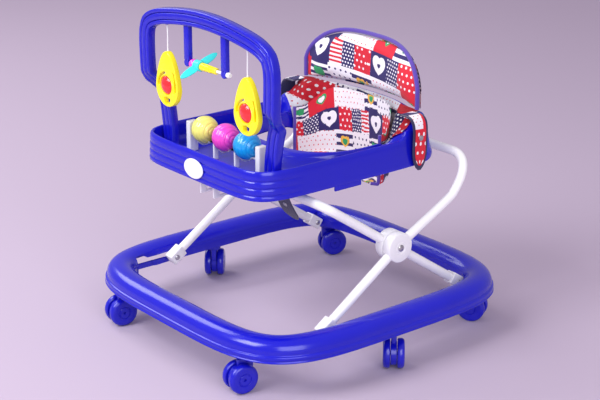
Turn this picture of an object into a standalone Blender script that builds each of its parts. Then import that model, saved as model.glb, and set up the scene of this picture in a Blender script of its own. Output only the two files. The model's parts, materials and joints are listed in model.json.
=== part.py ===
"""Baby walker: a wheeled base ring, a folding pair of crossed tube frames, a play tray with a toy
arch and a ball rattle, and a fabric seat. Metres, +Z up, the origin on the floor at the middle of the
base. The baby faces -Y, and +X is the baby's left."""

from math import atan2, cos, pi, radians, sin

import bmesh
import bpy
from mathutils import Matrix, Vector

# Base ring: a rounded-square inverted channel on six swivel casters
BASE_HALF_X = 0.2856
BASE_HALF_Y = 0.2900
BASE_POWER = 4.32
BASE_BOTTOM = 0.067
BASE_TOP = 0.1035
RAIL_WIDTH = 0.054
WALL = 0.0028
RING_STEPS = 48

# Casters: swivel points with the turn of each axle, and the twin wheels
CASTER_PLACES = (
    (0.176, -0.2495, -10),
    (-0.176, -0.2495, -10),
    (0.2545, 0.0, 48),
    (-0.2545, 0.0, 228),
    (0.2120, 0.2440, -60),
    (-0.2120, 0.2440, 160),
)
WHEEL_RADIUS = 0.0255
WHEEL_WIDTH = 0.0125
CASTER_TRAIL = 0.012
CASTER_CORE = 0.0105
AXLE_RADIUS = 0.003
STEM_RADIUS = 0.0045
STEM_TOP = 0.0935
BOSS_RADIUS = 0.010

# Crossed tube frames: the lower arms are alike, so both feet stay level as the frame folds
TUBE_RADIUS = 0.008
TUBE_WALL = 0.0012
OUTER_PLANE = 0.2145
INNER_PLANE = 0.1960
FOOT_HEIGHT = 0.082
FRONT_FOOT_Y = -0.119
REAR_FOOT_Y = 0.200
HUB_Y = (FRONT_FOOT_Y + REAR_FOOT_Y) / 2
HUB_Z = 0.189
HUB_RADIUS = 0.026
HUB_WIDTH = OUTER_PLANE - INNER_PLANE - 0.0004
FRONT_BAR = (-0.105, 0.2866)
REAR_BAR = (0.202, 0.317)
FOOT_HALF = 0.0105
PIVOT_RADIUS = 0.003
GAP = 0.0003

# Play tray
TRAY_HALF_X = 0.1745
TRAY_FRONT = -0.2216
TRAY_REAR = 0.190
TRAY_POWER = 7.0
TRAY_BOTTOM = 0.305
TRAY_FLOOR = 0.322
TRAY_RIM = 0.355
OPENING_Y = 0.052
OPENING_HALF_X = 0.124
OPENING_HALF_Y = 0.112
OPENING_POWER = 2.6
ARM_START_Y = 0.078
ARM_FULL_Y = 0.108
ARM_TOP_Y = 0.148

# Toy arch
ARCH_FRONT = -0.1995
ARCH_DEPTH = 0.0165
ARCH_STEP = 0.024
ARCH_STEP_TOP = 0.450
ARCH_STEP_BOTTOM = 0.424
ARCH_MID_Y = ARCH_FRONT + ARCH_DEPTH / 2

# Toys
PENDANT_X = 0.110
PENDANT_TOP = 0.499
PENDANT_BOTTOM = 0.404
PENDANT_HALF_WIDTH = 0.026
PENDANT_THICK = 0.010
STRING_TOP = 0.5445
SPINDLE_Z = 0.492
POST_X = 0.051
BALL_RADIUS = 0.0235
BALL_PITCH = 0.0585
BALL_Y = -0.155
BALL_Z = 0.3675
RACK_X = 0.0965

# Seat
BACK_HALF_WIDTH = 0.150
BACK_BOTTOM = 0.3945
BACK_TOP = 0.496
BACK_Y = 0.179
PAD_THICK = 0.018
PANEL_THICK = 0.003
SLING_THICK = 0.005
STRAP_WIDTH = 0.034

X_AXIS = Vector((1, 0, 0))
Y_AXIS = Vector((0, 1, 0))
Z_AXIS = Vector((0, 0, 1))


def clear_scene():
    for old in list(bpy.data.objects):
        bpy.data.objects.remove(old, do_unlink=True)


def collection(name):
    made = bpy.data.collections.new(name)
    bpy.context.scene.collection.children.link(made)
    return made


def material(name, colour, roughness=0.3, metallic=0.0):
    made = bpy.data.materials.new(name)
    made.use_nodes = True
    shader = made.node_tree.nodes["Principled BSDF"]
    shader.inputs["Base Color"].default_value = (*colour, 1)
    shader.inputs["Roughness"].default_value = roughness
    shader.inputs["Metallic"].default_value = metallic
    return made


def node(name, mesh, finish, axis=None, place=None):
    """One named part of the walker. Its parent is the empty on its joint's axis, if it has one."""
    made = bpy.data.objects.new(name, mesh)
    parts.objects.link(made)
    if axis is not None:
        made.parent = axis
        made.location = -axis.location
    if place is not None:
        made.location = place
    if not mesh.materials:
        mesh.materials.append(finish)
    return made


def axis_at(name, place, turn=0.0, parent=None):
    """An empty on a joint's axis."""
    made = bpy.data.objects.new(name, None)
    parts.objects.link(made)
    made.location = place
    made.rotation_euler = (0, 0, radians(turn))
    made.parent = parent
    return made


def cutter(name, mesh):
    made = bpy.data.objects.new(name, mesh)
    cutters.objects.link(made)
    made.hide_render = True
    made.display_type = "WIRE"
    return made


def finished_mesh(shape, name):
    mesh = bpy.data.meshes.new(name)
    shape.to_mesh(mesh)
    shape.free()
    return mesh


def evaluated_mesh(made):
    """The object's mesh with its modifiers worked in, in its own space."""
    bpy.context.view_layer.update()
    graph = bpy.context.evaluated_depsgraph_get()
    return bpy.data.meshes.new_from_object(made.evaluated_get(graph))


def boolean(made, other, operation):
    modifier = made.modifiers.new(operation.title(), "BOOLEAN")
    modifier.operation = operation
    modifier.object = other
    modifier.use_self = True


def along(axis, centre):
    """Turns +Z to the axis and moves the origin to the centre."""
    turn = Z_AXIS.rotation_difference(Vector(axis)).to_matrix().to_4x4()
    return Matrix.Translation(centre) @ turn


def add_cylinder(shape, radius, start, end, sides=16):
    start, end = Vector(start), Vector(end)
    place = along((end - start).normalized(), (start + end) / 2)
    bmesh.ops.create_cone(
        shape, cap_ends=True, cap_tris=False, segments=sides, radius1=radius, radius2=radius,
        depth=(end - start).length, matrix=place,
    )


def add_box(shape, low, high, place=Matrix.Identity(4)):
    low, high = Vector(low), Vector(high)
    size = high - low
    made = bmesh.ops.create_cube(
        shape, size=1.0, matrix=place @ Matrix.Translation((low + high) / 2) @ Matrix.Diagonal((*size, 1))
    )
    return made["verts"]


def cylinders(name, rods, sides=16):
    """One mesh of separate rods, each (radius, start, end)."""
    shape = bmesh.new()
    for radius, start, end in rods:
        add_cylinder(shape, radius, start, end, sides)
    return finished_mesh(shape, name)


def turned(name, profile, steps=20, closed=False):
    """A solid turned round Z from (radius, height) points that run down its outer side."""
    shape = bmesh.new()
    points = [shape.verts.new((radius, 0, height)) for radius, height in profile]
    for first, second in zip(points, points[1:]):
        shape.edges.new((first, second))
    if closed:
        shape.edges.new((points[-1], points[0]))
    made = cutter(name + "_profile", finished_mesh(shape, name + "_profile"))
    screw = made.modifiers.new("Turn", "SCREW")
    screw.steps = steps
    screw.render_steps = steps
    screw.use_merge_vertices = True
    screw.merge_threshold = 0.00001
    screw.use_normal_calculate = False
    mesh = evaluated_mesh(made)
    bpy.data.objects.remove(made, do_unlink=True)
    mesh.name = name
    return mesh


def smooth_path(points, per_span):
    """A smooth run through the points, with per_span steps between each two."""
    points = [Vector(point) for point in points]
    ends = [2 * points[0] - points[1], *points, 2 * points[-1] - points[-2]]
    path = []
    for before, start, end, after in zip(ends, ends[1:], ends[2:], ends[3:]):
        for step in range(per_span):
            t = step / per_span
            path.append(
                0.5
                * (
                    2 * start
                    + (end - before) * t
                    + (2 * before - 5 * start + 4 * end - after) * t * t
                    + (3 * start - before - 3 * end + after) * t**3
                )
            )
    path.append(points[-1])
    return path


def tube(name, points, radius, resolution=3, closed_ends=True):
    """The mesh of a round tube or wire along the points."""
    curve = bpy.data.curves.new(name, "CURVE")
    curve.dimensions = "3D"
    curve.bevel_depth = radius
    curve.bevel_resolution = resolution
    curve.use_fill_caps = closed_ends
    spline = curve.splines.new("POLY")
    spline.points.add(len(points) - 1)
    for place, point in zip(spline.points, points):
        place.co = (*point, 1)
    return curve_mesh(curve, name)


def curve_mesh(curve, name):
    """The curve's surface as a mesh, its caps welded on."""
    guide = bpy.data.objects.new(name + "_guide", curve)
    cutters.objects.link(guide)
    mesh = evaluated_mesh(guide)
    bpy.data.objects.remove(guide, do_unlink=True)
    shape = bmesh.new()
    shape.from_mesh(mesh)
    bmesh.ops.remove_doubles(shape, verts=shape.verts, dist=0.00001)
    bmesh.ops.recalc_face_normals(shape, faces=shape.faces)
    return finished_mesh(shape, name)


def plate(name, outlines, thickness):
    """The mesh of a flat plate in XY, centred on Z; outlines after the first are its cut-outs."""
    curve = bpy.data.curves.new(name, "CURVE")
    curve.dimensions = "2D"
    curve.fill_mode = "BOTH"
    curve.extrude = thickness / 2
    for outline in outlines:
        spline = curve.splines.new("POLY")
        spline.use_cyclic_u = True
        spline.points.add(len(outline) - 1)
        for place, (x, y) in zip(spline.points, outline):
            place.co = (x, y, 0, 1)
    return curve_mesh(curve, name)


def bent_sheet(name, across, along_count, place_of):
    """A grid whose points place_of(u, v) puts in space, u and v running from 0 to 1."""
    shape = bmesh.new()
    bmesh.ops.create_grid(shape, x_segments=across, y_segments=along_count, size=0.5)
    for point in shape.verts:
        point.co = place_of(point.co.x + 0.5, point.co.y + 0.5)
    return finished_mesh(shape, name)


def thicken(made, thickness, offset=0.0):
    modifier = made.modifiers.new("Thickness", "SOLIDIFY")
    modifier.thickness = thickness
    modifier.offset = offset


def ease(low, high, value):
    """0 below low and 1 above high, with a smooth rise between."""
    t = min(max((value - low) / (high - low), 0), 1)
    return t * t * (3 - 2 * t)


# ---- rounded-square outlines ----


def rounded_square(angle, half_x, half_y, power, inset=0.0):
    """A point of the outline at this angle, moved in square to it by the inset."""
    c, s = cos(angle), sin(angle)
    reach = (abs(c / half_x) ** power + abs(s / half_y) ** power) ** (-1 / power)
    point = Vector((reach * c, reach * s))
    out = Vector(
        (
            (abs(point.x / half_x) ** (power - 1)) / half_x * (1 if c > 0 else -1),
            (abs(point.y / half_y) ** (power - 1)) / half_y * (1 if s > 0 else -1),
        )
    )
    return point - out.normalized() * inset


def corner_turn(turn):
    """The turn with its steps drawn towards the four corners, where the outline bends most."""
    c, s = cos(turn), sin(turn)
    return atan2((abs(s) ** 0.55) * (1 if s > 0 else -1), (abs(c) ** 0.55) * (1 if c > 0 else -1))


def ring(name, section, place_of, steps=RING_STEPS):
    """A closed section swept once round, where place_of(angle, index) gives each point."""
    shape = bmesh.new()
    count = len(section)
    index = shape.verts.layers.int.new("index")
    points = [shape.verts.new((2 + cos(2 * pi * k / count), 0, sin(2 * pi * k / count))) for k in range(count)]
    for k, point in enumerate(points):
        point[index] = k
    edges = [shape.edges.new((points[k], points[(k + 1) % count])) for k in range(count)]
    bmesh.ops.spin(
        shape, geom=points + edges, cent=(0, 0, 0), axis=(0, 0, 1), angle=2 * pi, steps=steps, use_merge=True
    )
    for point in shape.verts:
        turn = atan2(point.co.y, point.co.x)
        point.co = place_of(corner_turn(turn), section[point[index]])
    bmesh.ops.recalc_face_normals(shape, faces=shape.faces)
    return finished_mesh(shape, name)


# ---- base ring and casters ----

BASE_SECTION = (
    (0.0, BASE_BOTTOM),
    (0.0, 0.0785),
    (0.003, 0.0890),
    (0.009, 0.0985),
    (0.022, BASE_TOP),
    (0.036, 0.1028),
    (0.0475, 0.0970),
    (0.0535, 0.0880),
    (RAIL_WIDTH, BASE_BOTTOM),
    (RAIL_WIDTH - WALL, BASE_BOTTOM),
    (0.0505, 0.0870),
    (0.0450, 0.0946),
    (0.0225, 0.1005),
    (0.0110, 0.0960),
    (0.0056, 0.0880),
    (WALL, BASE_BOTTOM),
)


def base_point(angle, row):
    inset, height = row
    flat = rounded_square(angle, BASE_HALF_X, BASE_HALF_Y, BASE_POWER, inset)
    return (flat.x, flat.y, height)


def make_base():
    made = node("base_ring", ring("base_ring", BASE_SECTION, base_point), blue)
    bosses = [
        (BOSS_RADIUS, (x, y, BASE_BOTTOM + 0.001), (x, y, BASE_TOP - 0.003)) for x, y, _ in CASTER_PLACES
    ]
    boolean(made, cutter("boss_shapes", cylinders("boss_shapes", bosses, 12)), "UNION")
    holes = [
        (STEM_RADIUS + GAP, (x, y, BASE_BOTTOM - 0.01), (x, y, STEM_TOP + 0.001)) for x, y, _ in CASTER_PLACES
    ]
    for side in (-1, 1):
        pin = Vector((side * 0.2, REAR_FOOT_Y, FOOT_HEIGHT))
        holes.append((PIVOT_RADIUS + GAP, pin, pin + X_AXIS * side * 0.025))
    boolean(made, cutter("stem_holes", cylinders("stem_holes", holes, 10)), "DIFFERENCE")
    cuts = bmesh.new()
    for side in (-1, 1):
        add_side_box(cuts, side, (0.2020, -0.199, BASE_BOTTOM - 0.01), (0.2290, -0.095, FOOT_HEIGHT + 0.0145))
        add_side_box(cuts, side, (0.2280, -0.1935, FOOT_HEIGHT - 0.0045), (0.2360, -0.105, FOOT_HEIGHT + 0.0045))
        add_side_box(cuts, side, (0.1800, 0.184, BASE_BOTTOM - 0.01), (0.2085, 0.2150, FOOT_HEIGHT + 0.0145))
    boolean(made, cutter("slot_shapes", finished_mesh(cuts, "slot_shapes")), "DIFFERENCE")


def add_side_box(shape, side, low, high):
    """A box on the left (1), or its mirror image on the right (-1)."""
    if side < 0:
        low, high = (-high[0], *low[1:]), (-low[0], *high[1:])
    add_box(shape, low, high)


def caster_body_mesh():
    """The core between the wheels, its neck, swivel flange and stem; X is the axle, -Y the trail."""
    core = CASTER_CORE / 2
    wheel = Vector((0, -CASTER_TRAIL, WHEEL_RADIUS))
    shape = bmesh.new()
    add_cylinder(shape, 0.0205, wheel - X_AXIS * core, wheel + X_AXIS * core, 18)
    made = cutter("caster_core", finished_mesh(shape, "caster_core"))
    neck = bmesh.new()
    add_box(neck, (-core + 0.0003, -CASTER_TRAIL - 0.006, WHEEL_RADIUS), (core - 0.0003, 0.0105, 0.0600))
    add_cylinder(neck, 0.0125, (0, 0, 0.0560), (0, 0, BASE_BOTTOM - 0.0008), 16)
    add_cylinder(neck, STEM_RADIUS, (0, 0, 0.0490), (0, 0, STEM_TOP), 10)
    boolean(made, cutter("caster_neck", finished_mesh(neck, "caster_neck")), "UNION")
    hole = [(AXLE_RADIUS + GAP, wheel - X_AXIS * 0.02, wheel + X_AXIS * 0.02)]
    boolean(made, cutter("caster_bore", cylinders("caster_bore", hole, 10)), "DIFFERENCE")
    mesh = evaluated_mesh(made)
    mesh.name = "caster_body"
    return mesh


def wheel_pair_mesh():
    """Twin wheels on their axle, turned in one piece about X."""
    inner = CASTER_CORE / 2 + 0.0008
    outer = inner + WHEEL_WIDTH
    half = [
        (0, outer),
        (0.0205, outer),
        (WHEEL_RADIUS, outer - 0.0035),
        (WHEEL_RADIUS, inner + 0.0015),
        (0.0225, inner),
        (AXLE_RADIUS, inner),
    ]
    pair = turned("wheel_pair", half + [(radius, -height) for radius, height in reversed(half)], 16)
    pair.transform(Matrix.Rotation(pi / 2, 4, "Y"))
    return pair


def make_casters():
    body = caster_body_mesh()
    wheels = wheel_pair_mesh()
    for number, (x, y, turn) in enumerate(CASTER_PLACES, 1):
        swivel = axis_at(f"swivel_axis_{number}", Vector((x, y, 0)), turn)
        node(f"caster_body_{number}", body, blue, swivel, (0, 0, 0))
        axle = axis_at(f"axle_axis_{number}", Vector((0, -CASTER_TRAIL, WHEEL_RADIUS)), parent=swivel)
        node(f"caster_wheels_{number}", wheels, blue, axle, (0, 0, 0))


# ---- crossed tube frames ----


def frame_tube(name, axis, plane, foot, knee, bar, corner):
    """A U-shaped frame, hollow and drilled for its hub pivots, its ends short of the foot pivots."""
    foot, hub = Vector(foot), Vector((HUB_Y, HUB_Z))
    end = foot + (hub - foot).normalized() * 0.0075
    leg = [Vector((plane, *point)) for point in (end, hub, *knee)]
    turn = Vector((plane, *bar))
    start = turn + (leg[-1] - turn).normalized() * corner
    last = turn - X_AXIS * corner
    bend = [start.lerp(turn, t / 6).lerp(turn.lerp(last, t / 6), t / 6) for t in range(7)]
    half = leg + bend
    path = half + [Vector((-p.x, p.y, p.z)) for p in reversed(half)]
    made = node(name, tube(name, path, TUBE_RADIUS, 3, closed_ends=False), white_metal, axis)
    thicken(made, TUBE_WALL, -1)
    drill = []
    for side in (-1, 1):
        centre = Vector((side * plane, HUB_Y, HUB_Z))
        drill.append((PIVOT_RADIUS + 2 * GAP, centre - X_AXIS * 0.02, centre + X_AXIS * 0.02))
    boolean(made, cutter(name + "_drill", cylinders(name + "_drill", drill, 10)), "DIFFERENCE")


def make_foot(name, axis, centre, lean):
    """A moulded end socket: lean is the direction of its tube, as a turn from +Y towards +Z."""
    way = Vector((0, cos(lean), sin(lean)))
    shape = bmesh.new()
    place = Matrix.Translation(centre) @ Matrix.Rotation(lean, 4, "X")
    solid = add_box(shape, (-0.0100, -0.0105, -FOOT_HALF), (0.0100, 0.0200, FOOT_HALF), place)
    edges = {edge for vert in solid for edge in vert.link_edges}
    bmesh.ops.bevel(
        shape, geom=list(edges), offset=0.0020, segments=2, profile=0.5, affect="EDGES", material=-1
    )
    made = node(name, finished_mesh(shape, name), white, axis)
    bores = [
        (TUBE_RADIUS + GAP, centre + way * 0.0068, centre + way * 0.03),
        (PIVOT_RADIUS + GAP, centre - X_AXIS * 0.02, centre + X_AXIS * 0.02),
    ]
    boolean(made, cutter(name + "_bores", cylinders(name + "_bores", bores, 14)), "DIFFERENCE")


def make_hub(name, axis, centre, leans):
    """A round boss on a frame at the crossing, with the tube's way through it and the pivot hole."""
    half = X_AXIS * HUB_WIDTH / 2
    made = node(name, cylinders(name, [(HUB_RADIUS, centre - half, centre + half)], 20), white, axis)
    cuts = [(PIVOT_RADIUS + GAP, centre - X_AXIS * 0.02, centre + X_AXIS * 0.02)]
    for lean in leans:
        way = Vector((0, cos(lean), sin(lean)))
        cuts.append((TUBE_RADIUS + GAP, centre - way * 0.002, centre + way * 0.04))
    boolean(made, cutter(name + "_ways", cylinders(name + "_ways", cuts, 12)), "DIFFERENCE")


def screw_mesh(name, face, way, length, head):
    """A pan-head pivot screw: the head stands on the face and the shank runs along the way."""
    profile = [
        (0, 0.0022),
        (head * 0.7, 0.0020),
        (head, 0.0006),
        (head, 0),
        (PIVOT_RADIUS, 0),
        (PIVOT_RADIUS, -length),
        (0, -length),
    ]
    one = turned(name, profile, 12)
    one.transform(along(-Vector(way), face))
    return one


REAR_LEAN = atan2(HUB_Z - FOOT_HEIGHT, HUB_Y - REAR_FOOT_Y)
FRONT_LEAN = atan2(HUB_Z - FOOT_HEIGHT, HUB_Y - FRONT_FOOT_Y)
FRONT_BAR_LEAN = atan2(FRONT_BAR[1] - HUB_Z, FRONT_BAR[0] - HUB_Y)
OUTER_KNEE = ((0.150, 0.2455), (0.170, 0.2600), (0.183, 0.2780))
KNEE_LEAN = atan2(OUTER_KNEE[0][1] - HUB_Z, OUTER_KNEE[0][0] - HUB_Y)


def make_frames():
    frame_tube("inner_tube", fold_axis, INNER_PLANE, (REAR_FOOT_Y, FOOT_HEIGHT), (), FRONT_BAR, 0.034)
    frame_tube(
        "outer_tube", cross_axis, OUTER_PLANE, (FRONT_FOOT_Y, FOOT_HEIGHT), OUTER_KNEE, REAR_BAR, 0.042
    )
    for side, label in ((1, "left"), (-1, "right")):
        outward = X_AXIS * side
        inner_foot = Vector((side * INNER_PLANE, REAR_FOOT_Y, FOOT_HEIGHT))
        outer_foot = Vector((side * OUTER_PLANE, FRONT_FOOT_Y, FOOT_HEIGHT))
        make_foot(f"inner_foot_{label}", fold_axis, inner_foot, REAR_LEAN)
        make_foot(f"outer_foot_{label}", cross_axis, outer_foot, FRONT_LEAN)
        inner_hub = Vector((side * INNER_PLANE, HUB_Y, HUB_Z))
        outer_hub = Vector((side * OUTER_PLANE, HUB_Y, HUB_Z))
        make_hub(f"inner_hub_{label}", fold_axis, inner_hub, (REAR_LEAN + pi, FRONT_BAR_LEAN))
        make_hub(f"outer_hub_{label}", cross_axis, outer_hub, (FRONT_LEAN + pi, KNEE_LEAN))
        hub_face = outer_hub + outward * (HUB_WIDTH / 2 + GAP)
        name = f"hub_screw_{label}"
        node(name, screw_mesh(name, hub_face, -outward, HUB_WIDTH * 2 + 0.002, 0.0060), steel, fold_axis)
        rear_face = inner_foot - outward * 0.0103
        name = f"rear_screw_{label}"
        node(name, screw_mesh(name, rear_face, outward, 0.0330, 0.0050), steel)
        front_face = outer_foot - outward * 0.0103
        name = f"slide_pin_{label}"
        node(name, screw_mesh(name, front_face, outward, 0.0290, 0.0050), steel, cross_axis)


# ---- play tray ----

TRAY_SECTION = (
    # Front, arm and back shapes, each (0 at the outer edge to 1 at the opening, inset, height)
    ((0, 0.0000, 0.3050), (0, 0.0000, 0.3050), (0.00, 0, 0.3140)),
    ((0, 0.0025, 0.3500), (0, 0.0035, 0.3500), (0.12, 0, 0.3370)),
    ((0, 0.0045, 0.3550), (0, 0.0050, 0.3610), (0.25, 0, 0.3620)),
    ((0, 0.0085, 0.3550), (0, 0.0080, 0.3655), (0.45, 0, 0.3800)),
    ((0, 0.0100, 0.3500), (0, 0.0120, 0.3670), (0.68, 0, 0.3910)),
    ((0, 0.0105, 0.3255), (0.30, 0, 0.3660), (0.76, 0, 0.3900)),
    ((0, 0.0140, 0.3220), (0.50, 0, 0.3610), (0.80, 0, 0.3870)),
    ((0.82, 0, 0.3220), (0.72, 0, 0.3500), (0.86, 0, 0.3800)),
    ((0.85, 0, 0.3400), (0.80, 0, 0.3430), (0.90, 0, 0.3720)),
    ((0.89, 0, 0.3425), (0.88, 0, 0.3350), (0.94, 0, 0.3600)),
    ((0.985, 0, 0.3425), (0.975, 0, 0.3260), (0.985, 0, 0.3400)),
    ((1, 0, 0.3390), (1, 0, 0.3190), (1, 0, 0.3300)),
    ((1, 0, 0.3120), (1, 0, 0.3080), (1, 0, 0.3120)),
    ((0.97, 0, 0.3120), (0.96, 0, 0.3080), (0.95, 0, 0.3120)),
    ((0.97, 0, 0.3380), (0.95, 0, 0.3190), (0.93, 0, 0.3400)),
    ((0.885, 0, 0.3375), (0.85, 0, 0.3270), (0.85, 0, 0.3680)),
    ((0.86, 0, 0.3194), (0.70, 0, 0.3410), (0.74, 0, 0.3820)),
    ((0, 0.0080, 0.3194), (0.26, 0, 0.3570), (0.62, 0, 0.3820)),
    ((0, 0.0042, 0.3050), (0, 0.0050, 0.3050), (0.16, 0, 0.3140)),
)
TRAY_MID_Y = (TRAY_FRONT + TRAY_REAR) / 2
TRAY_HALF_Y = (TRAY_REAR - TRAY_FRONT) / 2


def opening_point(angle, inset=0.0):
    flat = rounded_square(angle, OPENING_HALF_X, OPENING_HALF_Y, OPENING_POWER, inset)
    return Vector((flat.x, flat.y + OPENING_Y))


def spoke_point(angle, share, inset):
    outer = rounded_square(angle, TRAY_HALF_X, TRAY_HALF_Y, TRAY_POWER, inset) + Vector((0, TRAY_MID_Y))
    return outer.lerp(opening_point(atan2(outer.y - OPENING_Y, outer.x)), share)


def tray_point(angle, row):
    front, arm, back = row
    edge = spoke_point(angle, 0, 0)
    arms = ease(ARM_START_Y, ARM_FULL_Y, edge.y)
    rear = ease(0.150, TRAY_REAR, edge.y)
    rise = ease(ARM_FULL_Y, ARM_TOP_Y, edge.y)
    share = front[0] + (arm[0] - front[0]) * arms
    inset = front[1] + (arm[1] - front[1]) * arms
    share += (back[0] - share) * (rise if arm[0] >= 0.5 else rear)
    inset += (back[1] - inset) * rear
    flat = spoke_point(angle, share, inset)
    height = front[2] + (arm[2] - front[2]) * arms
    height += (back[2] - height) * (rise if height > TRAY_BOTTOM + 0.002 else rear)
    return (flat.x, flat.y, height)


def make_tray():
    made = node("tray", ring("tray", TRAY_SECTION, tray_point, 48), blue, tray_axis)
    lugs = bmesh.new()
    for side in (-1, 1):
        add_side_box(lugs, side, (0.1695, -0.062, 0.2930), (0.1735, -0.005, 0.3120))
    boolean(made, cutter("lug_shapes", finished_mesh(lugs, "lug_shapes")), "UNION")
    for side, label in ((1, "left"), (-1, "right")):
        centre = Vector((side * 0.09, *REAR_BAR))
        clip = bmesh.new()
        add_cylinder(clip, 0.0125, centre - X_AXIS * 0.013, centre + X_AXIS * 0.013, 20)
        name = f"bar_clip_{label}"
        piece = node(name, finished_mesh(clip, name), white, tray_axis)
        foot = bmesh.new()
        add_box(foot, centre + Vector((-0.0128, -0.0118, -0.0090)), centre + Vector((0.0128, 0, 0.0090)))
        boolean(piece, cutter(name + "_foot", finished_mesh(foot, name + "_foot")), "UNION")
        bore = [(TUBE_RADIUS + GAP, centre - X_AXIS * 0.02, centre + X_AXIS * 0.02)]
        boolean(piece, cutter(name + "_bore", cylinders(name + "_bore", bore, 16)), "DIFFERENCE")
    rack = bmesh.new()
    add_box(rack, (-0.020, -0.196, 0.2735), (0.020, -0.083, 0.3188))
    piece = node("height_rack", finished_mesh(rack, "height_rack"), white, tray_axis)
    slot = bmesh.new()
    add_box(slot, (-0.03, -0.1835, 0.2775), (0.03, -0.0945, 0.3055))
    add_box(slot, (-0.0165, -0.1960, 0.27), (0.0165, -0.0830, 0.3140))
    boolean(piece, cutter("height_rack_slot", finished_mesh(slot, "height_rack_slot")), "DIFFERENCE")
    oval = [(0.0260 * cos(2 * pi * k / 24), 0.0165 * sin(2 * pi * k / 24)) for k in range(24)]
    badge = plate("tray_badge", [oval], 0.0022)
    badge.transform(Matrix.Rotation(pi / 2 - 0.055, 4, "X"))
    badge.transform(Matrix.Translation((0, TRAY_FRONT - 0.00035, 0.3265)))
    node("tray_badge", badge, white, tray_axis)


# ---- toy arch ----


def loft(name, rings):
    """A solid skinned over a run of closed sections that hold the same number of points."""
    shape = bmesh.new()
    loops = []
    for points in rings:
        verts = [shape.verts.new(point) for point in points]
        loops.append([shape.edges.new((verts[k - 1], verts[k])) for k in range(len(verts))])
    for first, second in zip(loops, loops[1:]):
        bmesh.ops.bridge_loops(shape, edges=first + second)
    for ends in (loops[0], loops[-1]):
        bmesh.ops.contextual_create(shape, geom=ends)
    bmesh.ops.recalc_face_normals(shape, faces=shape.faces)
    return finished_mesh(shape, name)


def arch_line():
    """The arch's middle line from its left foot to its right one, with the set-back of its legs."""
    half = [
        (0.1422, TRAY_FLOOR + 0.0004),
        (0.1428, 0.356),
        (0.1500, 0.400),
        (0.1580, ARCH_STEP_BOTTOM),
        (0.1640, (ARCH_STEP_TOP + ARCH_STEP_BOTTOM) / 2),
        (0.1700, ARCH_STEP_TOP),
        (0.1720, 0.480),
        (0.1722, 0.510),
        (0.1690, 0.530),
        (0.1585, 0.5445),
        (0.1280, 0.5565),
        (0.0700, 0.5660),
        (0.0300, 0.5697),
        (0.0, 0.5705),
    ]
    return half + [(-x, z) for x, z in reversed(half[:-1])]


def arch_mesh():
    line = [Vector(point) for point in arch_line()]
    sides = ((0.0135, 0.25), (0.0135, 0.5), (-0.0135, 0.5), (-0.0135, 0.25))
    rings = []
    for k, centre in enumerate(line):
        before, after = line[max(k - 1, 0)], line[min(k + 1, len(line) - 1)]
        way = (after - before).normalized()
        if k in (0, len(line) - 1):
            way = Vector((0, 1 if k == 0 else -1))
        normal = Vector((-way.y, way.x))
        back = ARCH_STEP * (1 - ease(ARCH_STEP_BOTTOM - 0.004, ARCH_STEP_TOP + 0.004, centre.y))
        if k in (0, len(line) - 1):
            back = ARCH_STEP
        half = ARCH_DEPTH / 2
        profile = (
            (0.0135, half), (0.0135, -half + 0.0020), (0.0118, -half), (0.0070, -half),
            (0.0056, -half + 0.0022), (0.0042, -half), (-0.0042, -half), (-0.0056, -half + 0.0022),
            (-0.0070, -half), (-0.0118, -half), (-0.0135, -half + 0.0020), (-0.0135, half),
        )
        ring_points = []
        for across, depth in profile:
            flat = centre + normal * across
            ring_points.append((flat.x, ARCH_MID_Y + back + depth, flat.y))
        rings.append(ring_points)
    return loft("toy_arch", rings)


def make_arch():
    made = node("toy_arch", arch_mesh(), blue, tray_axis)
    extras = bmesh.new()
    for side in (-1, 1):
        x = side * POST_X
        add_box(extras, (x - 0.0068, ARCH_MID_Y - 0.0045, 0.4920), (x + 0.0068, ARCH_MID_Y + 0.0045, 0.562))
        add_cylinder(
            extras, 0.0068, (x, ARCH_MID_Y - 0.0045, SPINDLE_Z), (x, ARCH_MID_Y + 0.0045, SPINDLE_Z), 16
        )
        knob = side * PENDANT_X
        add_cylinder(extras, 0.0050, (knob, ARCH_MID_Y, 0.5450), (knob, ARCH_MID_Y, 0.5580), 10)
    boolean(made, cutter("post_shapes", finished_mesh(extras, "post_shapes")), "UNION")
    bores = [(0.0030, (-0.07, ARCH_MID_Y, SPINDLE_Z), (0.07, ARCH_MID_Y, SPINDLE_Z))]
    for side in (-1, 1):
        knob = side * PENDANT_X
        bores.append((0.0011, (knob, ARCH_MID_Y, 0.5400), (knob, ARCH_MID_Y, 0.5500)))
    boolean(made, cutter("spindle_bore", cylinders("spindle_bore", bores, 10)), "DIFFERENCE")


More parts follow.
